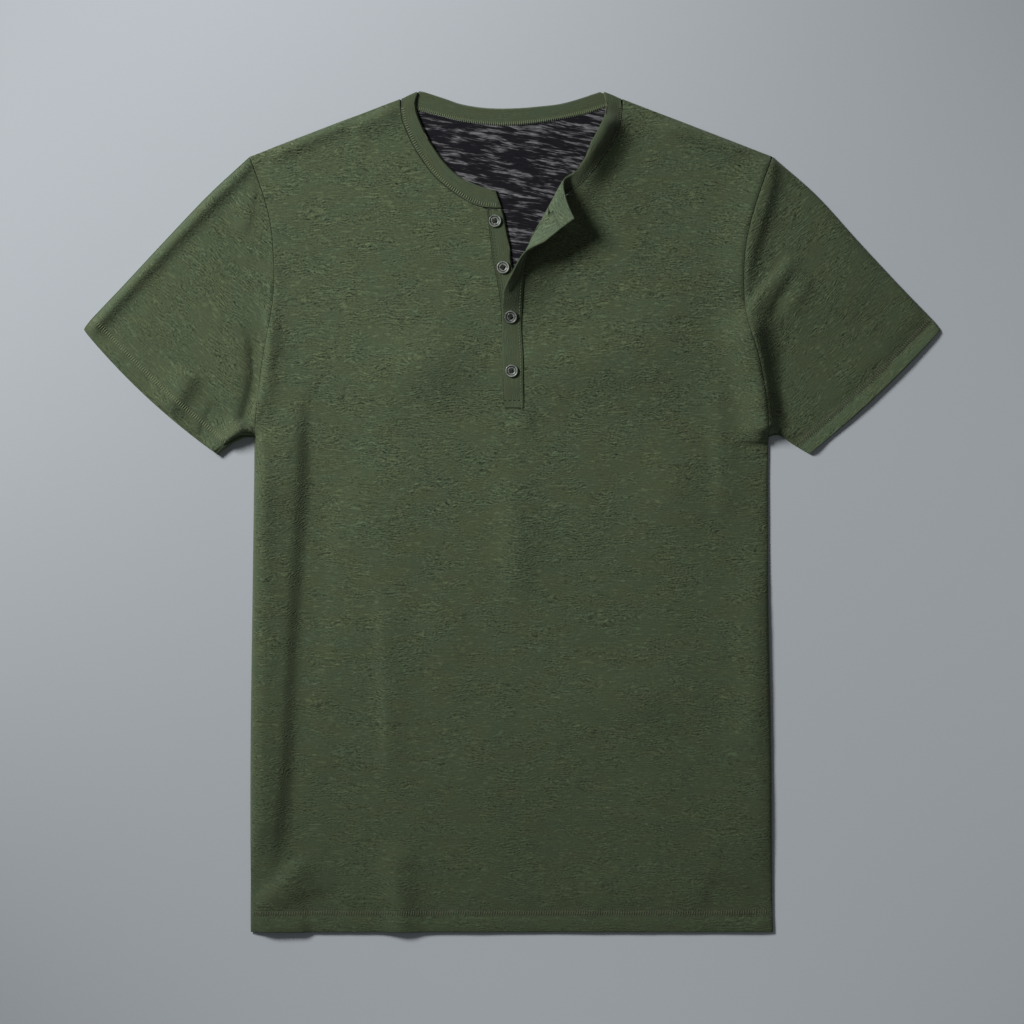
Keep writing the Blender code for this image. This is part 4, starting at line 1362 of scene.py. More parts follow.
class StitchTree:
    """Geometry Nodes tree that lays rounded stitches along guide lines."""

    NAMES = ("Spacing", "Along", "Across", "Height", "Lean", "Jitter")

    def __init__(self) -> None:
        """Build the tree."""
        self.tree = bpy.data.node_groups.new("stitch_row", "GeometryNodeTree")
        face = self.tree.interface
        face.new_socket("Geometry", in_out="INPUT", socket_type="NodeSocketGeometry")
        for name in self.NAMES:
            face.new_socket(name, in_out="INPUT", socket_type="NodeSocketFloat")
        face.new_socket("Seed", in_out="INPUT", socket_type="NodeSocketInt")
        face.new_socket("Thread", in_out="INPUT", socket_type="NodeSocketMaterial")
        face.new_socket("Geometry", in_out="OUTPUT", socket_type="NodeSocketGeometry")
        self.ids = {i.name: i.identifier for i in face.items_tree if i.in_out == "INPUT"}
        given = self.add("NodeGroupInput").outputs
        line = self.add("GeometryNodeMeshToCurve", {}, {"Mesh": given["Geometry"]})
        even = self.add("GeometryNodeResampleCurve", {"mode": "LENGTH"},
                        {"Curve": line.outputs[0], "Length": given["Spacing"]})
        tangent = self.add("GeometryNodeInputTangent")
        up = self.add("GeometryNodeInputNamedAttribute", {"data_type": "FLOAT_VECTOR"}, {"Name": "up"})
        upright = self.add("FunctionNodeAxesToRotation", {"primary_axis": "Z", "secondary_axis": "X"},
                           {"Primary Axis": up.outputs[0], "Secondary Axis": tangent.outputs[0]})
        least = self.add("ShaderNodeMath", {"operation": "MULTIPLY"}, {0: given["Jitter"], 1: -1.0})
        chance = self.add("FunctionNodeRandomValue", {"data_type": "FLOAT"},
                          {2: least.outputs[0], 3: given["Jitter"], "Seed": given["Seed"]})
        lean = self.add("ShaderNodeMath", {"operation": "ADD"}, {0: chance.outputs[1], 1: given["Lean"]})
        about = self.add("FunctionNodeAxisAngleToRotation", {},
                         {"Axis": (0.0, 0.0, 1.0), "Angle": lean.outputs[0]})
        turned = self.add("FunctionNodeRotateRotation", {"rotation_space": "LOCAL"},
                          {0: upright.outputs[0], 1: about.outputs[0]})
        size = self.add("ShaderNodeCombineXYZ", {},
                        {0: given["Along"], 1: given["Across"], 2: given["Height"]})
        bead = self.add("GeometryNodeMeshUVSphere", {}, {"Segments": 6, "Rings": 4, "Radius": 0.5})
        laid = self.add("GeometryNodeInstanceOnPoints", {},
                        {"Points": even.outputs[0], "Instance": bead.outputs[0],
                         "Rotation": turned.outputs[0], "Scale": size.outputs[0]})
        real = self.add("GeometryNodeRealizeInstances", {}, {0: laid.outputs[0]})
        soft = self.add("GeometryNodeSetShadeSmooth", {}, {0: real.outputs[0]})
        dressed = self.add("GeometryNodeSetMaterial", {},
                           {"Geometry": soft.outputs[0], "Material": given["Thread"]})
        self.add("NodeGroupOutput", {}, {0: dressed.outputs[0]})

    def add(self, kind: str, settings: dict[str, Any] | None = None,
            inputs: Inputs | None = None) -> bpy.types.Node:
        """Add a node with its settings and its inputs' values or links."""
        made = self.tree.nodes.new(kind)
        for name, value in (settings or {}).items():
            setattr(made, name, value)
        for name, value in (inputs or {}).items():
            if isinstance(value, bpy.types.NodeSocket):
                self.tree.links.new(value, made.inputs[name])
            else:
                made.inputs[name].default_value = value
        return made

    def sew(self, name: str, lines: Sequence[Line], kind: StitchKind,
            thread: Material, seed: int) -> Thing:
        """Sew one kind of stitch along guide lines.

        Args:
            name: Name of the piece.
            lines: Points in millimetres and outward directions of each line.
            kind: Which stitch.
            thread: Its finish.
            seed: Seed of its small irregularities.

        Returns:
            The stitches as a plain mesh.
        """
        verts, ups, edges = [], [], []
        for points, up in lines:
            first = len(verts)
            verts += (points * MM).tolist()
            ups += up.tolist()
            edges += [(first + i, first + i + 1) for i in range(len(points) - 1)]
        mesh = bpy.data.meshes.new(name)
        mesh.from_pydata(verts, edges, [])
        data = mesh.attributes.new("up", "FLOAT_VECTOR", "POINT")
        data.data.foreach_set("vector", np.array(ups, np.float32).ravel())
        guide = in_scene(name + "_guide", mesh)
        mod = guide.modifiers.new("stitches", "NODES")
        mod.node_group = self.tree
        stitch = kind.value
        sizes = [size * MM for size in (stitch.spacing, stitch.along, stitch.across, stitch.height)]
        for label, value in zip(self.NAMES, (*sizes, stitch.lean, stitch.jitter)):
            mod[self.ids[label]] = value
        mod[self.ids["Seed"]] = seed
        mod[self.ids["Thread"]] = thread
        made = plain_mesh(guide)
        made.name = name
        bpy.data.objects.remove(guide, do_unlink=True)
        return in_scene(name, made)


class Surface:
    """Finds the top of a finished piece under places in plan."""

    HIGH = 0.08

    def __init__(self, obj: Thing) -> None:
        """Keep a search tree of the piece."""
        mesh = obj.data
        faces = [tuple(p.vertices) for p in mesh.polygons]
        self.tree = BVHTree.FromPolygons([v.co for v in mesh.vertices], faces)

    def seat(self, x: float, y: float, reach: float) -> tuple[float, float, float]:
        """Level at a place, and the slope across and along over a reach round it."""
        ring = np.array([(x, y), (x - reach, y), (x + reach, y), (x, y - reach), (x, y + reach)])
        z = self.line(ring, 0.0)[0][:, 2]
        slope = (z[2] - z[1]) / (2 * reach), (z[4] - z[3]) / (2 * reach)
        return max(float(z[0]), float(z[1:].mean())), *slope

    def line(self, xy: Array, lift: float) -> Line:
        """Points on the piece under a run of plan points, and the directions out of it.

        Args:
            xy: Plan points in millimetres.
            lift: How far the line stands off the cloth.

        Returns:
            The points in millimetres, and their directions.
        """
        points, ups = [], []
        for x, y in xy:
            spot, up, _, _ = self.tree.ray_cast(Vector((x * MM, y * MM, self.HIGH)), Vector((0.0, 0.0, -1.0)))
            if spot is not None:
                points.append(np.array(spot) / MM + np.array(up) * lift)
                ups.append(np.array(up))
        return np.array(points), np.array(ups)


@dataclass
class Body:
    """Front and back panels.

    Attributes:
        hem_fade: Over how much the turned-up cloth ends.
        corner_x: Left end of what can turn back with the placket.
        slot_room: How much wider the slot is on either side.
        mitre: How far the neckline stops short of the slot.
        facing: Corner from which the front's inner side has the paler finish, partly painted light on the
            turned corner, and its right end.
        areas: Flat area of each panel in square metres.
    """

    form: Form
    hem_depth: float = 17.0
    hem_fade: float = 1.6
    corner_x: float = -4.0
    slot_room: float = 0.08
    mitre: float = 1.6
    facing: tuple[Point, float] = (Point(0.0, 176.0), 80.0)
    areas: dict[str, float] = field(default_factory=dict)

    def hem_weight(self, xy: Array) -> Array:
        """One on the turned-up hem, nought above it and along the folded edges."""
        top = SIDES[0].y + self.hem_depth + self.hem_fade / 2
        roll = np.clip(self.form.edge(xy) / EDGE_ROLL, 0.0, 1.0)
        return np.clip((top - xy[:, 1]) / self.hem_fade, 0.0, 1.0) * roll

    def front_outline(self) -> Array:
        """Outline of the front, with the neckline and the placket slot."""
        left, right = body_sides()
        hem = hem_run(left[0], right[0], STEP)
        neck_right = offset_curve(band_rows(BAND_RIGHT)[:, 2:4], SEAM_GAP)
        neck_left = offset_curve(band_rows(BAND_LEFT)[:, 2:4], SEAM_GAP)
        slot_left = smooth_curve(column(UNDER_STRIP, "seam"), 2.6) - (self.slot_room, 0.0)
        slot_right = smooth_curve(column(OVER_STRIP, "seam"), 2.6) + (self.slot_room, 0.0)
        neck_right = neck_right[neck_right[:, 0] < slot_left[-1][0] - self.mitre]
        neck_left = neck_left[neck_left[:, 0] > slot_right[-1][0] + self.mitre]
        slot_left[0][1] = slot_right[0][1] = OVER_STRIP[0].y - SEAM_GAP
        return np.vstack([left[:1], hem, right, neck_left, slot_right[::-1], slot_left, neck_right,
                          left[:0:-1]])

    def front(self, finishes: Wardrobe) -> Thing:
        """Front panel, its folds and the little corner that turns back with the placket."""
        loop = self.front_outline()
        xy, tris = fill_loop(loop, STEP, (0.9, 2.0, 3.4, 5.4))
        points = np.column_stack([xy, self.form.upper(xy)])
        corner = xy[:, 0] > self.corner_x
        points[corner] = self.form.turn(points[corner])
        shell = thicken(points, tris, xy * MM, SHEET_HALF, SHEET_HALF + 0.3 * self.hem_weight(xy), RIM_INSET)
        middle = xy[tris].mean(axis=1)
        # The turned corner's inner faces get the paler facing finish, partly painted light.
        start, end = self.facing
        facing = (middle[:, 0] > start.x) & (middle[:, 0] < end) & (middle[:, 1] > start.y)
        inner = np.where(facing, 2, np.where(self.form.hemmed(middle), 0, 1)).tolist()
        slots = [0] * len(tris) + inner + [0] * (len(shell.faces) - 2 * len(tris))
        self.areas["front"] = shoelace(loop) * MM * MM
        obj = make_object("front_cloth", shell.verts, shell.faces,
                          [finishes.jersey, finishes.marl, finishes.facing], slots, shell.layout)
        return settle(obj, "green_jersey", "front")

    def back(self, finishes: Wardrobe) -> Thing:
        """Back panel, flat on the floor, its hem turned up inside."""
        left, right = (np.column_stack([side[:, 0] - out * 0.2, np.maximum(side[:, 1], SIDES[0].y + 1.5)])
                       for side, out in zip(body_sides(), OUTWARD))
        shoulders = (hairpin(NECK_RIGHT, SHOULDER_RIGHT)[-1], hairpin(NECK_LEFT, SHOULDER_LEFT)[-1])
        seams = [row[2:4] for row in (shoulders[0], *band_rows(BAND_BACK), shoulders[1])]
        nape = offset_curve(seams, -SEAM_GAP - 0.1)
        loop = np.vstack([left[:1], hem_run(left[0], right[0], 5.0), right, nape[::-1], left[:0:-1]])
        xy, tris = fill_loop(loop, 7.0, (0.9, 2.6, 5.0))
        points = np.column_stack([xy, np.full(len(xy), BACK_MID)])
        above = CLOTH / 2 + 0.15 * self.hem_weight(xy)
        shell = thicken(points, tris, xy * MM, above, CLOTH / 2, 0.3)
        doubled = self.form.hemmed(xy[tris].mean(axis=1))
        slots = np.where(doubled, 0, 1).tolist() + [0] * (len(shell.faces) - len(tris))
        self.areas["back"] = shoelace(loop) * MM * MM
        obj = make_object("back_cloth", shell.verts, shell.faces, [finishes.jersey, finishes.marl],
                          slots, shell.layout)
        return settle(obj, "marl_backed_jersey", "back")

    def hem_guide(self, height: float) -> Array:
        """Plan run along the hem at a height above its edge."""
        x = np.arange(SIDES[0].left + 3.0, SIDES[0].right - 3.0, 2.0)
        return np.column_stack([x, np.full(len(x), SIDES[0].y + height)])


@dataclass
class Sleeve:
    """A short sleeve as a flattened tube from the armhole to its hem.

    Attributes:
        armhole: Which column of the armhole table it is sewn to.
        outward: Minus one for the wearer's right, one for the left.
        peek: How far the lower layer's hem shows beyond the upper one.
        lift: How far the upper hem stands off the lower one.
        under_lift: How far the underarm fold stands up.
        lift_reach: How far in from the hem it stands off.
        under_reach: How wide the underarm fold is.
        fold: Room that the folds take at either edge.
        sections: Rows of points from the armhole to the hem.
        runs: Plan of the upper layer, from the top edge to the underarm, section by section.
        parts: Fraction of the length at each section.
        across: Fraction of the width at each column.
    """

    node: str
    armhole: str
    top: Sequence[Point]
    under: Sequence[Point]
    outward: float
    form: Form
    peek: float
    lift: float
    under_lift: float
    lift_reach: float = 26.0
    under_reach: float = 11.0
    fold: float = 1.05
    clear: float = 0.12
    hem_depth: float = 15.5
    sections: int = 84
    runs: Array = field(init=False)
    parts: Array = field(init=False)
    across: Array = field(init=False)

    def __post_init__(self) -> None:
        """Work out the plan of the upper layer."""
        steps = np.linspace(0.0, 1.0, self.sections)
        self.parts = steps - 0.55 * np.sin(2 * np.pi * steps) / (2 * np.pi)
        arm = smooth_curve(column(ARMHOLES, self.armhole), STEP)[::-1]
        along = travelled(arm)
        fine = np.array([0.004, 0.009, 0.016])
        self.across = np.unique(np.concatenate([along / along[-1], fine, 1.0 - fine]))
        arm = along_path(arm, self.across) + (self.outward * self.clear, 0.0)
        tops = along_path(smooth_curve(self.top, 6.0), self.parts)
        unders = along_path(smooth_curve(self.under, 4.0), self.parts)
        across = self.across[:, None]
        curve = arm - (arm[0] + across * (arm[-1] - arm[0]))
        bow = np.sin(np.pi * across) * out_of_hem(tops[-1], unders[-1], self.outward) * CUFF_BOW
        runs = []
        for part, a, b in zip(self.parts, tops, unders):
            shift = np.array([self.outward * self.clear, 0.0]) * (1.0 - part)
            lean = unit(b - a)
            a = a + shift + lean * self.fold
            b = b + shift - lean * (self.fold + self.under_rise(part) / 2)
            runs.append(a + across * (b - a) + (1.0 - part) ** 2 * curve + part ** 2 * bow)
        self.runs = np.array(runs)

    @property
    def cuff(self) -> Array:
        """Its hem's edge, from the top edge to the underarm."""
        return self.form.cuffs[0 if self.outward < 0.0 else 1]

    @property
    def outline(self) -> Array:
        """Plan outline of the sleeve."""
        runs = self.runs
        return np.vstack([runs[0], runs[1:, -1], runs[-1][::-1], runs[::-1][1:, 0]])

    @property
    def area(self) -> float:
        """Flat area of both its layers in square metres."""
        return 2.0 * shoelace(self.outline) * MM * MM

    def under_rise(self, part: float) -> float:
        """How far the underarm fold stands up at a fraction of the way to the hem."""
        return self.under_lift * float(np.clip(part / 0.3, 0.0, 1.0)) ** 1.5

    def levels(self) -> Array:
        """Level of the upper layer, with its ends on the folds."""
        level = self.form.upper(self.runs.reshape(-1, 2)).reshape(self.runs.shape[:2])
        cuff = np.array([path_distance(run, self.cuff) for run in self.runs])
        level += self.lift * bell(cuff, 0.0, self.lift_reach) * np.sin(np.pi * self.across) ** 1.3
        rise = np.array([self.under_rise(part) for part in self.parts])
        gap = np.linalg.norm(self.runs - self.runs[:, -1:], axis=2)
        level += rise[:, None] * bell(gap, 0.0, self.under_reach)
        level[:, 0], level[:, -1] = FRONT_EDGE_MID, FRONT_EDGE_MID + rise
        return level

    def ring(self, run: Array, z: Array, shown: Array) -> Array:
        """One section all round the tube.

        Args:
            run: Plan of its upper layer, from the top edge to the underarm.
            z: Level of its upper layer.
            shown: Plan of its lower layer, the same way.

        Returns:
            Its points: upper layer, underarm fold, lower layer and top fold.
        """
        lean = unit(run[-1] - run[0])
        big, small = (z[-1] - BACK_MID) / 2, (z[0] - BACK_MID) / 2
        far = [(*(run[-1] + lean * big * math.sin(a)), BACK_MID + big * (1 + math.cos(a))) for a in BENDS]
        near = [(*(run[0] - lean * small * math.sin(a)), BACK_MID + small * (1 - math.cos(a))) for a in BENDS]
        lower = np.column_stack([shown[::-1], np.full(len(run), BACK_MID)])
        return np.vstack([np.column_stack([run, z]), far, lower, near])

    def build(self, finishes: Wardrobe) -> Thing:
        """Make the sleeve."""
        top, under = self.runs[-1][0], self.runs[-1][-1]
        grain = unit(under - top)
        bow = out_of_hem(top, under, self.outward) * self.peek * np.sin(np.pi * self.across)[:, None] ** 0.5
        rings = [self.ring(run, z, run + bow * part ** 6)
                 for run, z, part in zip(self.runs, self.levels(), self.parts)]
        points = np.vstack(rings)
        tris = grid_triangles(len(rings), len(rings[0]), True)
        if self.outward < 0:
            tris = tris[:, ::-1]
        plan = points[:, :2]
        hem = np.clip((self.hem_depth - path_distance(plan, self.cuff)) / 1.5, 0, 1)
        layout = np.column_stack([plan @ grain, plan @ np.array([-grain[1], grain[0]])]) * MM
        shell = thicken(points, tris, layout, CLOTH / 2, CLOTH / 2 + 0.3 * hem, RIM_INSET)
        shell.verts[:, 2] = np.maximum(shell.verts[:, 2], 0.0)
        doubled = self.form.hemmed(plan[tris].mean(axis=1))
        # The outer side of the left sleeve's doubled hem gets the paler hem finish: painted light on that
        # band.
        outer = np.where(doubled & (self.outward > 0.0), 2, 0).tolist()
        inner = np.where(doubled, 0, 1).tolist()
        slots = outer + inner + [0] * (len(shell.faces) - 2 * len(tris))
        obj = make_object(self.node + "_cloth", shell.verts, shell.faces,
                          [finishes.jersey, finishes.marl, finishes.hem], slots, shell.layout)
        return settle(obj, "green_jersey", self.node)

    def cuff_guide(self, distance: float) -> Array:
        """Plan run parallel to the sleeve hem at a distance in from its edge."""
        even = along_path(self.cuff, np.linspace(0.0, 1.0, 90))
        inward = offset_curve(even, -distance * self.outward)
        return inward[inside(inward, self.outline)]


@dataclass
class Ribbon:
    """A folded strip of cloth between a free edge and a seam edge.

    Attributes:
        rows: Free x, free y, seam x, seam y, stand of the free edge and level, row by row.
        turned_from: Row from which the turned-back corner takes it along, or None.
        drop: How far the seam edge dips towards the cloth that it is sewn to.
        facing_from: Row from which its inner side has the paler finish, partly painted light on the turned
            corner, or None.
        straight: Whether it stands up in a straight slope instead of a soft roll.
        cross: Places of its columns, from the free edge to the seam.
        area: Its flat area in square metres, once built.
    """

    name: str
    node: str
    rows: list[tuple[float, ...]]
    thick: float
    turned_from: int | None
    form: Form
    drop: float = 0.0
    facing_from: int | None = None
    straight: bool = False
    cross: tuple[float, ...] = (0.0, 0.05, 0.12, 0.22, 0.34, 0.46, 0.58, 0.68, 0.78, 0.87, 0.93, 0.97, 1.0)
    shell: Shell | None = None
    area: float = 0.0

    def build(self, finishes: Wardrobe) -> Thing:
        """Make the strip."""
        table = np.array(self.rows, float)
        free, seam, stand, mid = table[:, 0:2], table[:, 2:4], table[:, 4:5], table[:, 5:6]
        c = np.array(self.cross)
        count, cols = len(table), len(c)
        plan = free[:, None] + c[None, :, None] * (seam - free)[:, None]
        upright = 1.0 - c if self.straight else 1.0 - ease((c - 0.06) / 0.96)
        level = mid - self.drop * np.clip((c - 0.86) / 0.14, 0.0, 1.0) ** 1.6 + stand * upright
        points = np.concatenate([plan, level[:, :, None]], axis=2).reshape(-1, 3)
        points[:, 2] += self.form.lie(points[:, :2]) * np.clip(points[:, 2] - 1.8, 0.0, 1.0)
        run = travelled((free + seam) / 2)
        width = np.linalg.norm(seam - free, axis=1)
        layout = np.stack([np.repeat(run[:, None], cols, axis=1), c * width[:, None]], axis=2)
        layout = layout.reshape(-1, 2) * MM
        self.area = float(np.sum(np.diff(run) * (width[1:] + width[:-1]) / 2)) * MM * MM
        if self.turned_from is not None:
            late = self.turned_from * cols
            points[late:] = self.form.turn(points[late:])
        tris = grid_triangles(count, cols, False)
        if vertex_normals(points, tris)[:4 * cols, 2].mean() < 0:
            tris = tris[:, ::-1]
        pad = np.tile(sum(ridge.level(c) for ridge in STRIP_RIDGES), count)
        above = self.thick / 2 + pad + STRIP_LUMPS.level(layout / MM)
        inset = np.tile(np.where(c < 0.5, 0.8, 0.42), count)
        self.shell = thicken(points, tris, layout, above, self.thick / 2 + 0.5 * pad, inset)
        self.shell.verts[:, 2] = np.maximum(self.shell.verts[:, 2], 0.0)
        # Inner faces from facing_from on get the paler facing finish, partly painted light on the turned
        # corner.
        first = math.inf if self.facing_from is None else len(points) + self.facing_from * cols
        slots = [int(side is Face.INNER and face[0] >= first)
                 for side, face in zip(self.shell.sides, self.shell.faces)]
        obj = make_object(self.name, self.shell.verts, self.shell.faces, [finishes.band, finishes.facing],
                          slots, self.shell.layout)
        return settle(obj, "green_band", self.node)

    def line(self, place: float, lift: float, first: int = 0, last: int | None = None,
             side: Face = Face.OUTER) -> Line:
        """Points along the strip at a fraction of its width, and the directions out of it.

        Args:
            place: Nought at the free edge and one at the seam.
            lift: How far the line stands off the cloth.
            first: First row.
            last: Row to stop before.
            side: Outer or inner side.

        Returns:
            The points in millimetres, and their directions.
        """
        cols = len(self.cross)
        sign = 1.0 if side is Face.OUTER else -1.0
        grid = (self.shell.outer if side is Face.OUTER else self.shell.inner).reshape(-1, cols, 3)[first:last]
        ups = sign * self.shell.normals.reshape(-1, cols, 3)[first:last]
        k = int(np.clip(np.searchsorted(self.cross, place) - 1, 0, cols - 2))
        t = (place - self.cross[k]) / (self.cross[k + 1] - self.cross[k])
        up = ups[:, k] * (1 - t) + ups[:, k + 1] * t
        return grid[:, k] * (1 - t) + grid[:, k + 1] * t + up * lift, up


@dataclass
class Collar:
    """Neckband round the whole neck, over both shoulder folds and into the turned corner."""

    form: Form
    right_rows: int = 0
    back_from: int = 0
    back_to: int = 0
    plain_rows: int = 12

    def strip(self) -> Ribbon:
        """The neckband's strip."""
        right = [(*r, BAND_MID) for r in band_rows(BAND_RIGHT)]
        back = [(*r, BAND_BACK_MID) for r in band_rows(BAND_BACK)]
        left = [(*r, BAND_MID) for r in band_rows(BAND_LEFT, 2.0)]
        over_right = hairpin(NECK_RIGHT, SHOULDER_RIGHT)
        over_left = hairpin(NECK_LEFT, SHOULDER_LEFT)[::-1]
        self.right_rows = len(right)
        self.back_from = len(right) + len(over_right)
        self.back_to = self.back_from + len(back)
        turned = self.back_to + len(over_left)
        return Ribbon("neckband_cloth", "neckband", right + over_right + back + over_left + left, BAND_THICK,
                      turned, self.form, facing_from=turned + self.plain_rows)


@dataclass
class Placket:
    """Under and over strips of the placket.

    Attributes:
        head_dip: Length over which the head dips to meet the neckband.
        foot_dip: Length over which the foot dips.
        foot_sink: How far the foot dips.
        head_shift: How far the seam edge of the head moves over.
        head_rise: How much longer the head is at its seam edge, as a share.
    """

    form: Form
    head_dip: float = 18.0
    foot_dip: float = 5.0
    foot_sink: float = 0.3
    head_shift: float = 0.3
    head_rise: float = 0.55

    def lay(self, table: Sequence[Strip], level: float, foot: float, head: float,
            sink: float) -> list[tuple[float, ...]]:
        """Rows of a strip between its tabled widths.

        Args:
            table: Its widths from the foot up.
            level: Middle of the cloth.
            foot: How far it runs on below the table.
            head: How far it runs on above the table.
            sink: How far its head dips to meet the neckband.

        Returns:
            The rows.
        """
        made = smooth_curve([(r.free, r.y, r.seam, r.y, r.stand) for r in table], STRIP_STEP)
        low = made[0] - (0.0, foot, 0.0, foot, 0.0)
        slant = (0.0, 0.0, self.head_shift, self.head_rise * head if sink else 0.0, 0.0)
        high = made[-1] + (made[-1] - made[-2]) * (head / STRIP_STEP) + slant
        made = np.vstack([low, made, high])
        dip = ease((made[:, 1] - (table[-1].y - self.head_dip)) / self.head_dip)
        rest = np.clip((table[0].y + self.foot_dip - made[:, 1]) / self.foot_dip, 0.0, 1.0)
        rest *= self.foot_sink if sink else 0.0
        return [(*row, level - sink * d - r) for row, d, r in zip(made, dip, rest)]

    def under(self) -> Ribbon:
        """Strip that carries the upper buttons."""
        return Ribbon("placket_under_cloth", "placket_under", self.lay(UNDER_STRIP, UNDER_MID, 0.0, 0.5, 0.0),
                      UNDER_THICK, None, self.form)

    def over(self) -> Ribbon:
        """Strip that buttons over the other and turns back at the top."""
        return Ribbon("placket_over_cloth", "placket_over", self.lay(OVER_STRIP, OVER_MID, 1.2, 3.4, 1.36),
                      OVER_THICK, 0, self.form, drop=0.75, facing_from=0, straight=True)


def circle(radius: float, sides: int) -> Array:
    """Points round a circle in plan, anticlockwise."""
    a = 2 * np.pi * np.arange(sides) / sides
    return radius * np.column_stack([np.cos(a), np.sin(a)])


def level_ring(at: tuple[float, float], radius: float, z: float, sides: int) -> Array:
    """Points round a level circle at a place and a height."""
    return np.column_stack([circle(radius, sides) + at, np.full(sides, z)])


def ring_quads(rings: int, sides: int, first: int = 0) -> Faces:
    """Faces between rings of points that follow each other, from a first point on."""
    faces = []
    for start in range(first, first + (rings - 1) * sides, sides):
        for k in range(sides):
            a, b = start + k, start + (k + 1) % sides
            faces.append((a, b, b + sides, a + sides))
    return faces


def closed_tube(rings: Sequence[Array]) -> Solid:
    """Rings of points joined up, with a face at either end."""
    sides, last = len(rings[0]), (len(rings) - 1) * len(rings[0])
    faces = ring_quads(len(rings), sides) + [tuple(range(sides))[::-1], tuple(range(last, last + sides))]
    return np.vstack(rings), faces


def strand(path: Array, radius: float, sides: int) -> Solid:
    """Closed round tube along a path that stays roughly level."""
    ways = unit(np.gradient(path, axis=0))
    across = unit(np.cross(ways, (0.0, 0.0, 1.0)))
    up = np.cross(across, ways)
    ring = circle(radius, sides)
    return closed_tube([spot + ring @ np.array([x, y]) for spot, x, y in zip(path, across, up)])


def joined(parts: Sequence[Solid]) -> Solid:
    """Several meshes as one."""
    faces: Faces = []
    first = 0
    for points, some in parts:
        faces += [tuple(i + first for i in face) for face in some]
        first += len(points)
    return np.vstack([points for points, _ in parts]), faces


@dataclass
class Button:
    """Turned four-hole button with a raised rim, a dished middle and its thread.

    Attributes:
        seat: Level of the cloth under its middle, and the cloth's slope across and along.
        pitch: From its middle to a hole, either way.
        strand: Radius of its thread.
        spread: From the middle of a pass of thread to either strand.
        crossing: How much higher the second pass lies.
        dive: How deep a strand goes down at its ends.
        slack: How much it rises in the middle.
    """

    place: ButtonPlace
    seat: tuple[float, float, float]
    radius: float = 5.75
    thick: float = 2.1
    hole: float = 0.72
    pitch: float = 1.3
    seat_gap: float = 0.15
    sides: int = 56
    hole_sides: int = 14
    strand: float = 0.26
    spread: float = 0.24
    crossing: float = 0.12
    dive: float = 1.7
    slack: float = 0.28

    def profile(self) -> list[tuple[float, float]]:
        """Radius and depth below the rim, from the dished middle out and round to the bottom."""
        return [(1.2, 0.93), (2.4, 0.86), (2.9, 0.74), (3.15, 0.58), (3.4, 0.62), (3.6, 0.86),
                (3.85, 0.98), (4.1, 0.72), (4.35, 0.28), (4.7, 0.04), (5.1, 0.0), (5.45, 0.14),
                (self.radius - 0.08, 0.5), (self.radius, 1.0), (self.radius - 0.2, 1.6),
                (self.radius - 0.9, 2.15), (4.2, self.thick)]

    def put(self, points: Array) -> Array:
        """Turn points of the button's own frame and move them to its seat."""
        c, s = math.cos(self.place.turn), math.sin(self.place.turn)
        x, y, z = np.array(points, float).T
        x, y = x * c - y * s, x * s + y * c
        level, slope_x, slope_y = self.seat
        return np.column_stack([x + self.place.x, y + self.place.y,
                                z + level + self.seat_gap + x * slope_x + y * slope_y])

    def build(self, finishes: Wardrobe) -> Thing:
        """Make the button."""
        profile = self.profile()
        rings = [level_ring((0.0, 0.0), r, self.thick - depth, self.sides) for r, depth in profile]
        verts = np.vstack([(0.0, 0.0, self.thick - 0.95), *rings, (0.0, 0.0, 0.0)])
        last = 1 + (len(rings) - 1) * self.sides
        ahead = [(k + 1) % self.sides for k in range(self.sides)]
        faces: Faces = [(0, 1 + k, 1 + n) for k, n in enumerate(ahead)]
        faces += [face[::-1] for face in ring_quads(len(rings), self.sides, 1)]
        faces += [(last + k, len(verts) - 1, last + n) for k, n in enumerate(ahead)]
        out = np.hypot(verts[:, 0], verts[:, 1])
        disc = make_object(self.place.node + "_disc", self.put(verts), faces, [finishes.button],
                           layout=np.column_stack([out, out]) * MM)
        rods = [self.rod((x, y)) for x in (-self.pitch, self.pitch) for y in (-self.pitch, self.pitch)]
        tool = make_object("hole_tool", *joined(rods), [finishes.button])
        cut = disc.modifiers.new("holes", "BOOLEAN")
        cut.operation, cut.solver, cut.object = "DIFFERENCE", "EXACT", tool
        disc.data = plain_mesh(disc)
        disc.data.name = disc.name
        bpy.data.objects.remove(tool, do_unlink=True)
        return settle(disc, "button_grey", self.place.node)

    def rod(self, at: tuple[float, float]) -> Solid:
        """Closed round rod through the button at a place, for cutting a hole."""
        verts, faces = closed_tube([level_ring(at, self.hole, z, self.hole_sides) for z in (-2.0, 5.0)])
        return self.put(verts), faces

    def stitching(self) -> list[Solid]:
        """Two crossed passes of thread through the holes, each of two strands."""
        parts = []
        t = np.linspace(-1.0, 1.0, 11)
        for sx, over in ((1.0, 0.0), (-1.0, self.crossing)):
            way = unit(np.array([sx, 1.0]))
            for side in (-self.spread, self.spread):
                spots = t[:, None] * way * self.pitch * 1.414 + np.array([-way[1], way[0]]) * side
                dive = self.dive * np.maximum(np.abs(t) - 0.72, 0.0) / 0.28
                rise = self.thick - 0.62 + over - dive + self.slack * (1.0 - t * t)
                parts.append(strand(self.put(np.column_stack([spots, rise])), self.strand, 6))
        return parts


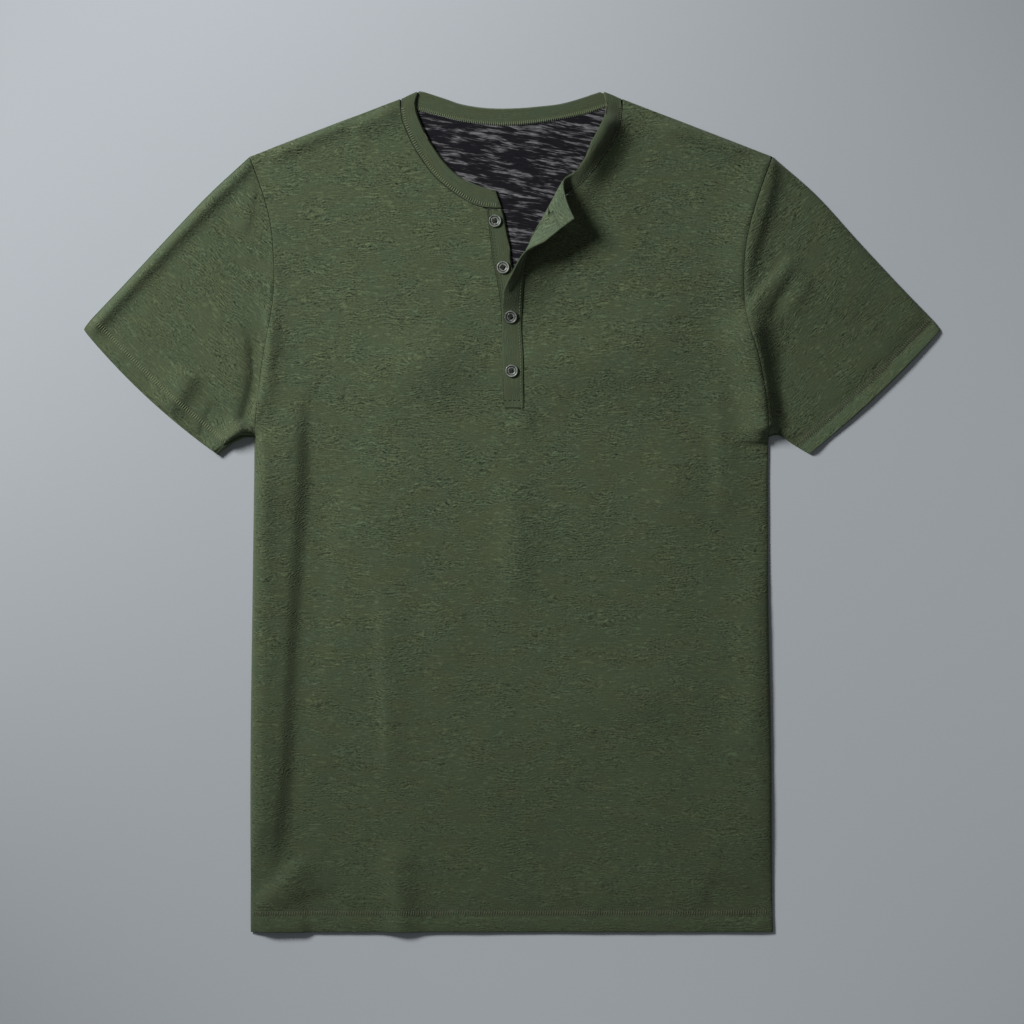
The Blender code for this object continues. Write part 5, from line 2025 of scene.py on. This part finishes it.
@dataclass
class Shirt:
    """Builds every piece in order and sews it."""

    form: Form
    finishes: Wardrobe
    needle: StitchTree
    sewn: dict[str, list[Thing]] = field(default_factory=dict)
    strips: dict[str, Surface] = field(default_factory=dict)

    def sew(self, owner: str, name: str, lines: Sequence[Line], kind: StitchKind,
            thread: Material) -> None:
        """Sew lines of stitches that go with a piece of cloth."""
        obj = self.needle.sew(name, lines, kind, thread, len(name))
        self.sewn.setdefault(owner, []).append(settle(obj, "green_band"))

    def body(self) -> None:
        """Front, back and the front's hem."""
        body = Body(self.form)
        front, back = body.front(self.finishes), body.back(self.finishes)
        top = Surface(front)
        line = self.form.hem_line
        thread = self.finishes.hem_thread
        self.sew("front", "stitches_hem_rungs", [top.line(body.hem_guide(line), RUNG_LIFT)],
                 StitchKind.RUNG, thread)
        rows = [top.line(body.hem_guide(line + d), ROW_LIFT) for d in (-ROW_OFFSET, ROW_OFFSET)]
        self.sew("front", "stitches_hem_rows", rows, StitchKind.NEEDLE, thread)

    def sleeves(self) -> None:
        """Both sleeves and their hems."""
        right = Sleeve("sleeve_right", "left", RIGHT_SLEEVE_TOP, RIGHT_SLEEVE_UNDER, -1.0, self.form,
                       peek=2.6, lift=1.7, under_lift=5.0)
        left = Sleeve("sleeve_left", "right", LEFT_SLEEVE_TOP, LEFT_SLEEVE_UNDER, 1.0, self.form,
                      peek=0.6, lift=0.5, under_lift=1.5)
        for sleeve, thread in ((right, self.finishes.thread), (left, self.finishes.hem_thread)):
            obj = sleeve.build(self.finishes)
            top = Surface(obj)
            owner, name = sleeve.node, f"stitches_{sleeve.node}"
            guide = sleeve.cuff_guide(self.form.cuff_line)
            self.sew(owner, name + "_rungs", [top.line(guide, RUNG_LIFT)], StitchKind.RUNG, thread)
            # Dark beads between the rungs: painted shade in the ladder's gaps.
            self.sew(owner, name + "_gaps", [top.line(half_step(guide), ROW_LIFT)], StitchKind.GAP,
                     self.finishes.seam_thread)
            rows = [top.line(sleeve.cuff_guide(self.form.cuff_line + d), ROW_LIFT)
                    for d in (-ROW_OFFSET, ROW_OFFSET)]
            self.sew(owner, name + "_rows", rows, StitchKind.NEEDLE, self.finishes.hem_thread)

    def neck(self) -> None:
        """Neckband and its stitching."""
        collar = Collar(self.form)
        band = collar.strip()
        obj = band.build(self.finishes)
        pale, dark = self.finishes.thread, self.finishes.seam_thread
        right, back = (1, collar.right_rows), (collar.back_from, collar.back_to)
        self.sew("neckband", "stitches_neck_rungs", [band.line(0.835, RUNG_LIFT, *right)],
                 StitchKind.NECK_RUNG, pale)
        # Dark beads between the neck rungs: painted shade in the ladder's gaps.
        points, ups = band.line(0.835, ROW_LIFT, *right)
        self.sew("neckband", "stitches_neck_gaps", [(half_step(points), ups)], StitchKind.GAP, dark)
        self.sew("neckband", "stitches_neck_turned", [band.line(0.86, 0.04, band.turned_from)],
                 StitchKind.NECK_RUNG, dark)
        self.sew("neckband", "stitches_nape", [band.line(0.94, RUNG_LIFT, *back, Face.INNER)],
                 StitchKind.EDGE_RUNG, pale)

    def placket(self) -> None:
        """Placket strips and their stitching."""
        maker = Placket(self.form)
        under, over = maker.under(), maker.over()
        lower = under.build(self.finishes)
        self.sew("under", "stitches_under", [under.line(place, 0.0) for place in (0.93, 0.78)],
                 StitchKind.TOP, self.finishes.seam_thread)
        upper = over.build(self.finishes)
        self.sew("over", "stitches_over", [over.line(0.88, 0.06)], StitchKind.TOP, self.finishes.thread)
        # Box stitches across the foot in near-black thread: painted shade of the needle holes.
        foot = over.shell.outer.reshape(-1, len(over.cross), 3)[3:5].mean(axis=0)[1:-1]
        box = foot + (0.0, 0.0, RUNG_LIFT), np.tile((0.0, 0.0, 1.0), (len(foot), 1))
        self.sew("over", "stitches_box", [box], StitchKind.BOX, self.finishes.button_thread)
        self.strips = {"under": Surface(lower), "over": Surface(upper)}

    def buttons(self) -> None:
        """The four buttons and their thread."""
        strands = []
        for place in BUTTONS:
            strip = self.strips["over" if place.over else "under"]
            button = Button(place, strip.seat(place.x, place.y, 4.0))
            button.build(self.finishes)
            strands += button.stitching()
        settle(make_object("button_threads", *joined(strands), [self.finishes.button_thread]), "button_grey")


def main() -> None:
    """Build the studio and the shirt."""
    logging.basicConfig(level=logging.INFO, format="%(name)s: %(message)s")
    Studio().build()
    shirt = Shirt(Form(), Wardrobe.make(), StitchTree())
    shirt.body()
    shirt.sleeves()
    shirt.neck()
    shirt.placket()
    shirt.buttons()


if __name__ == "__main__":
    main()
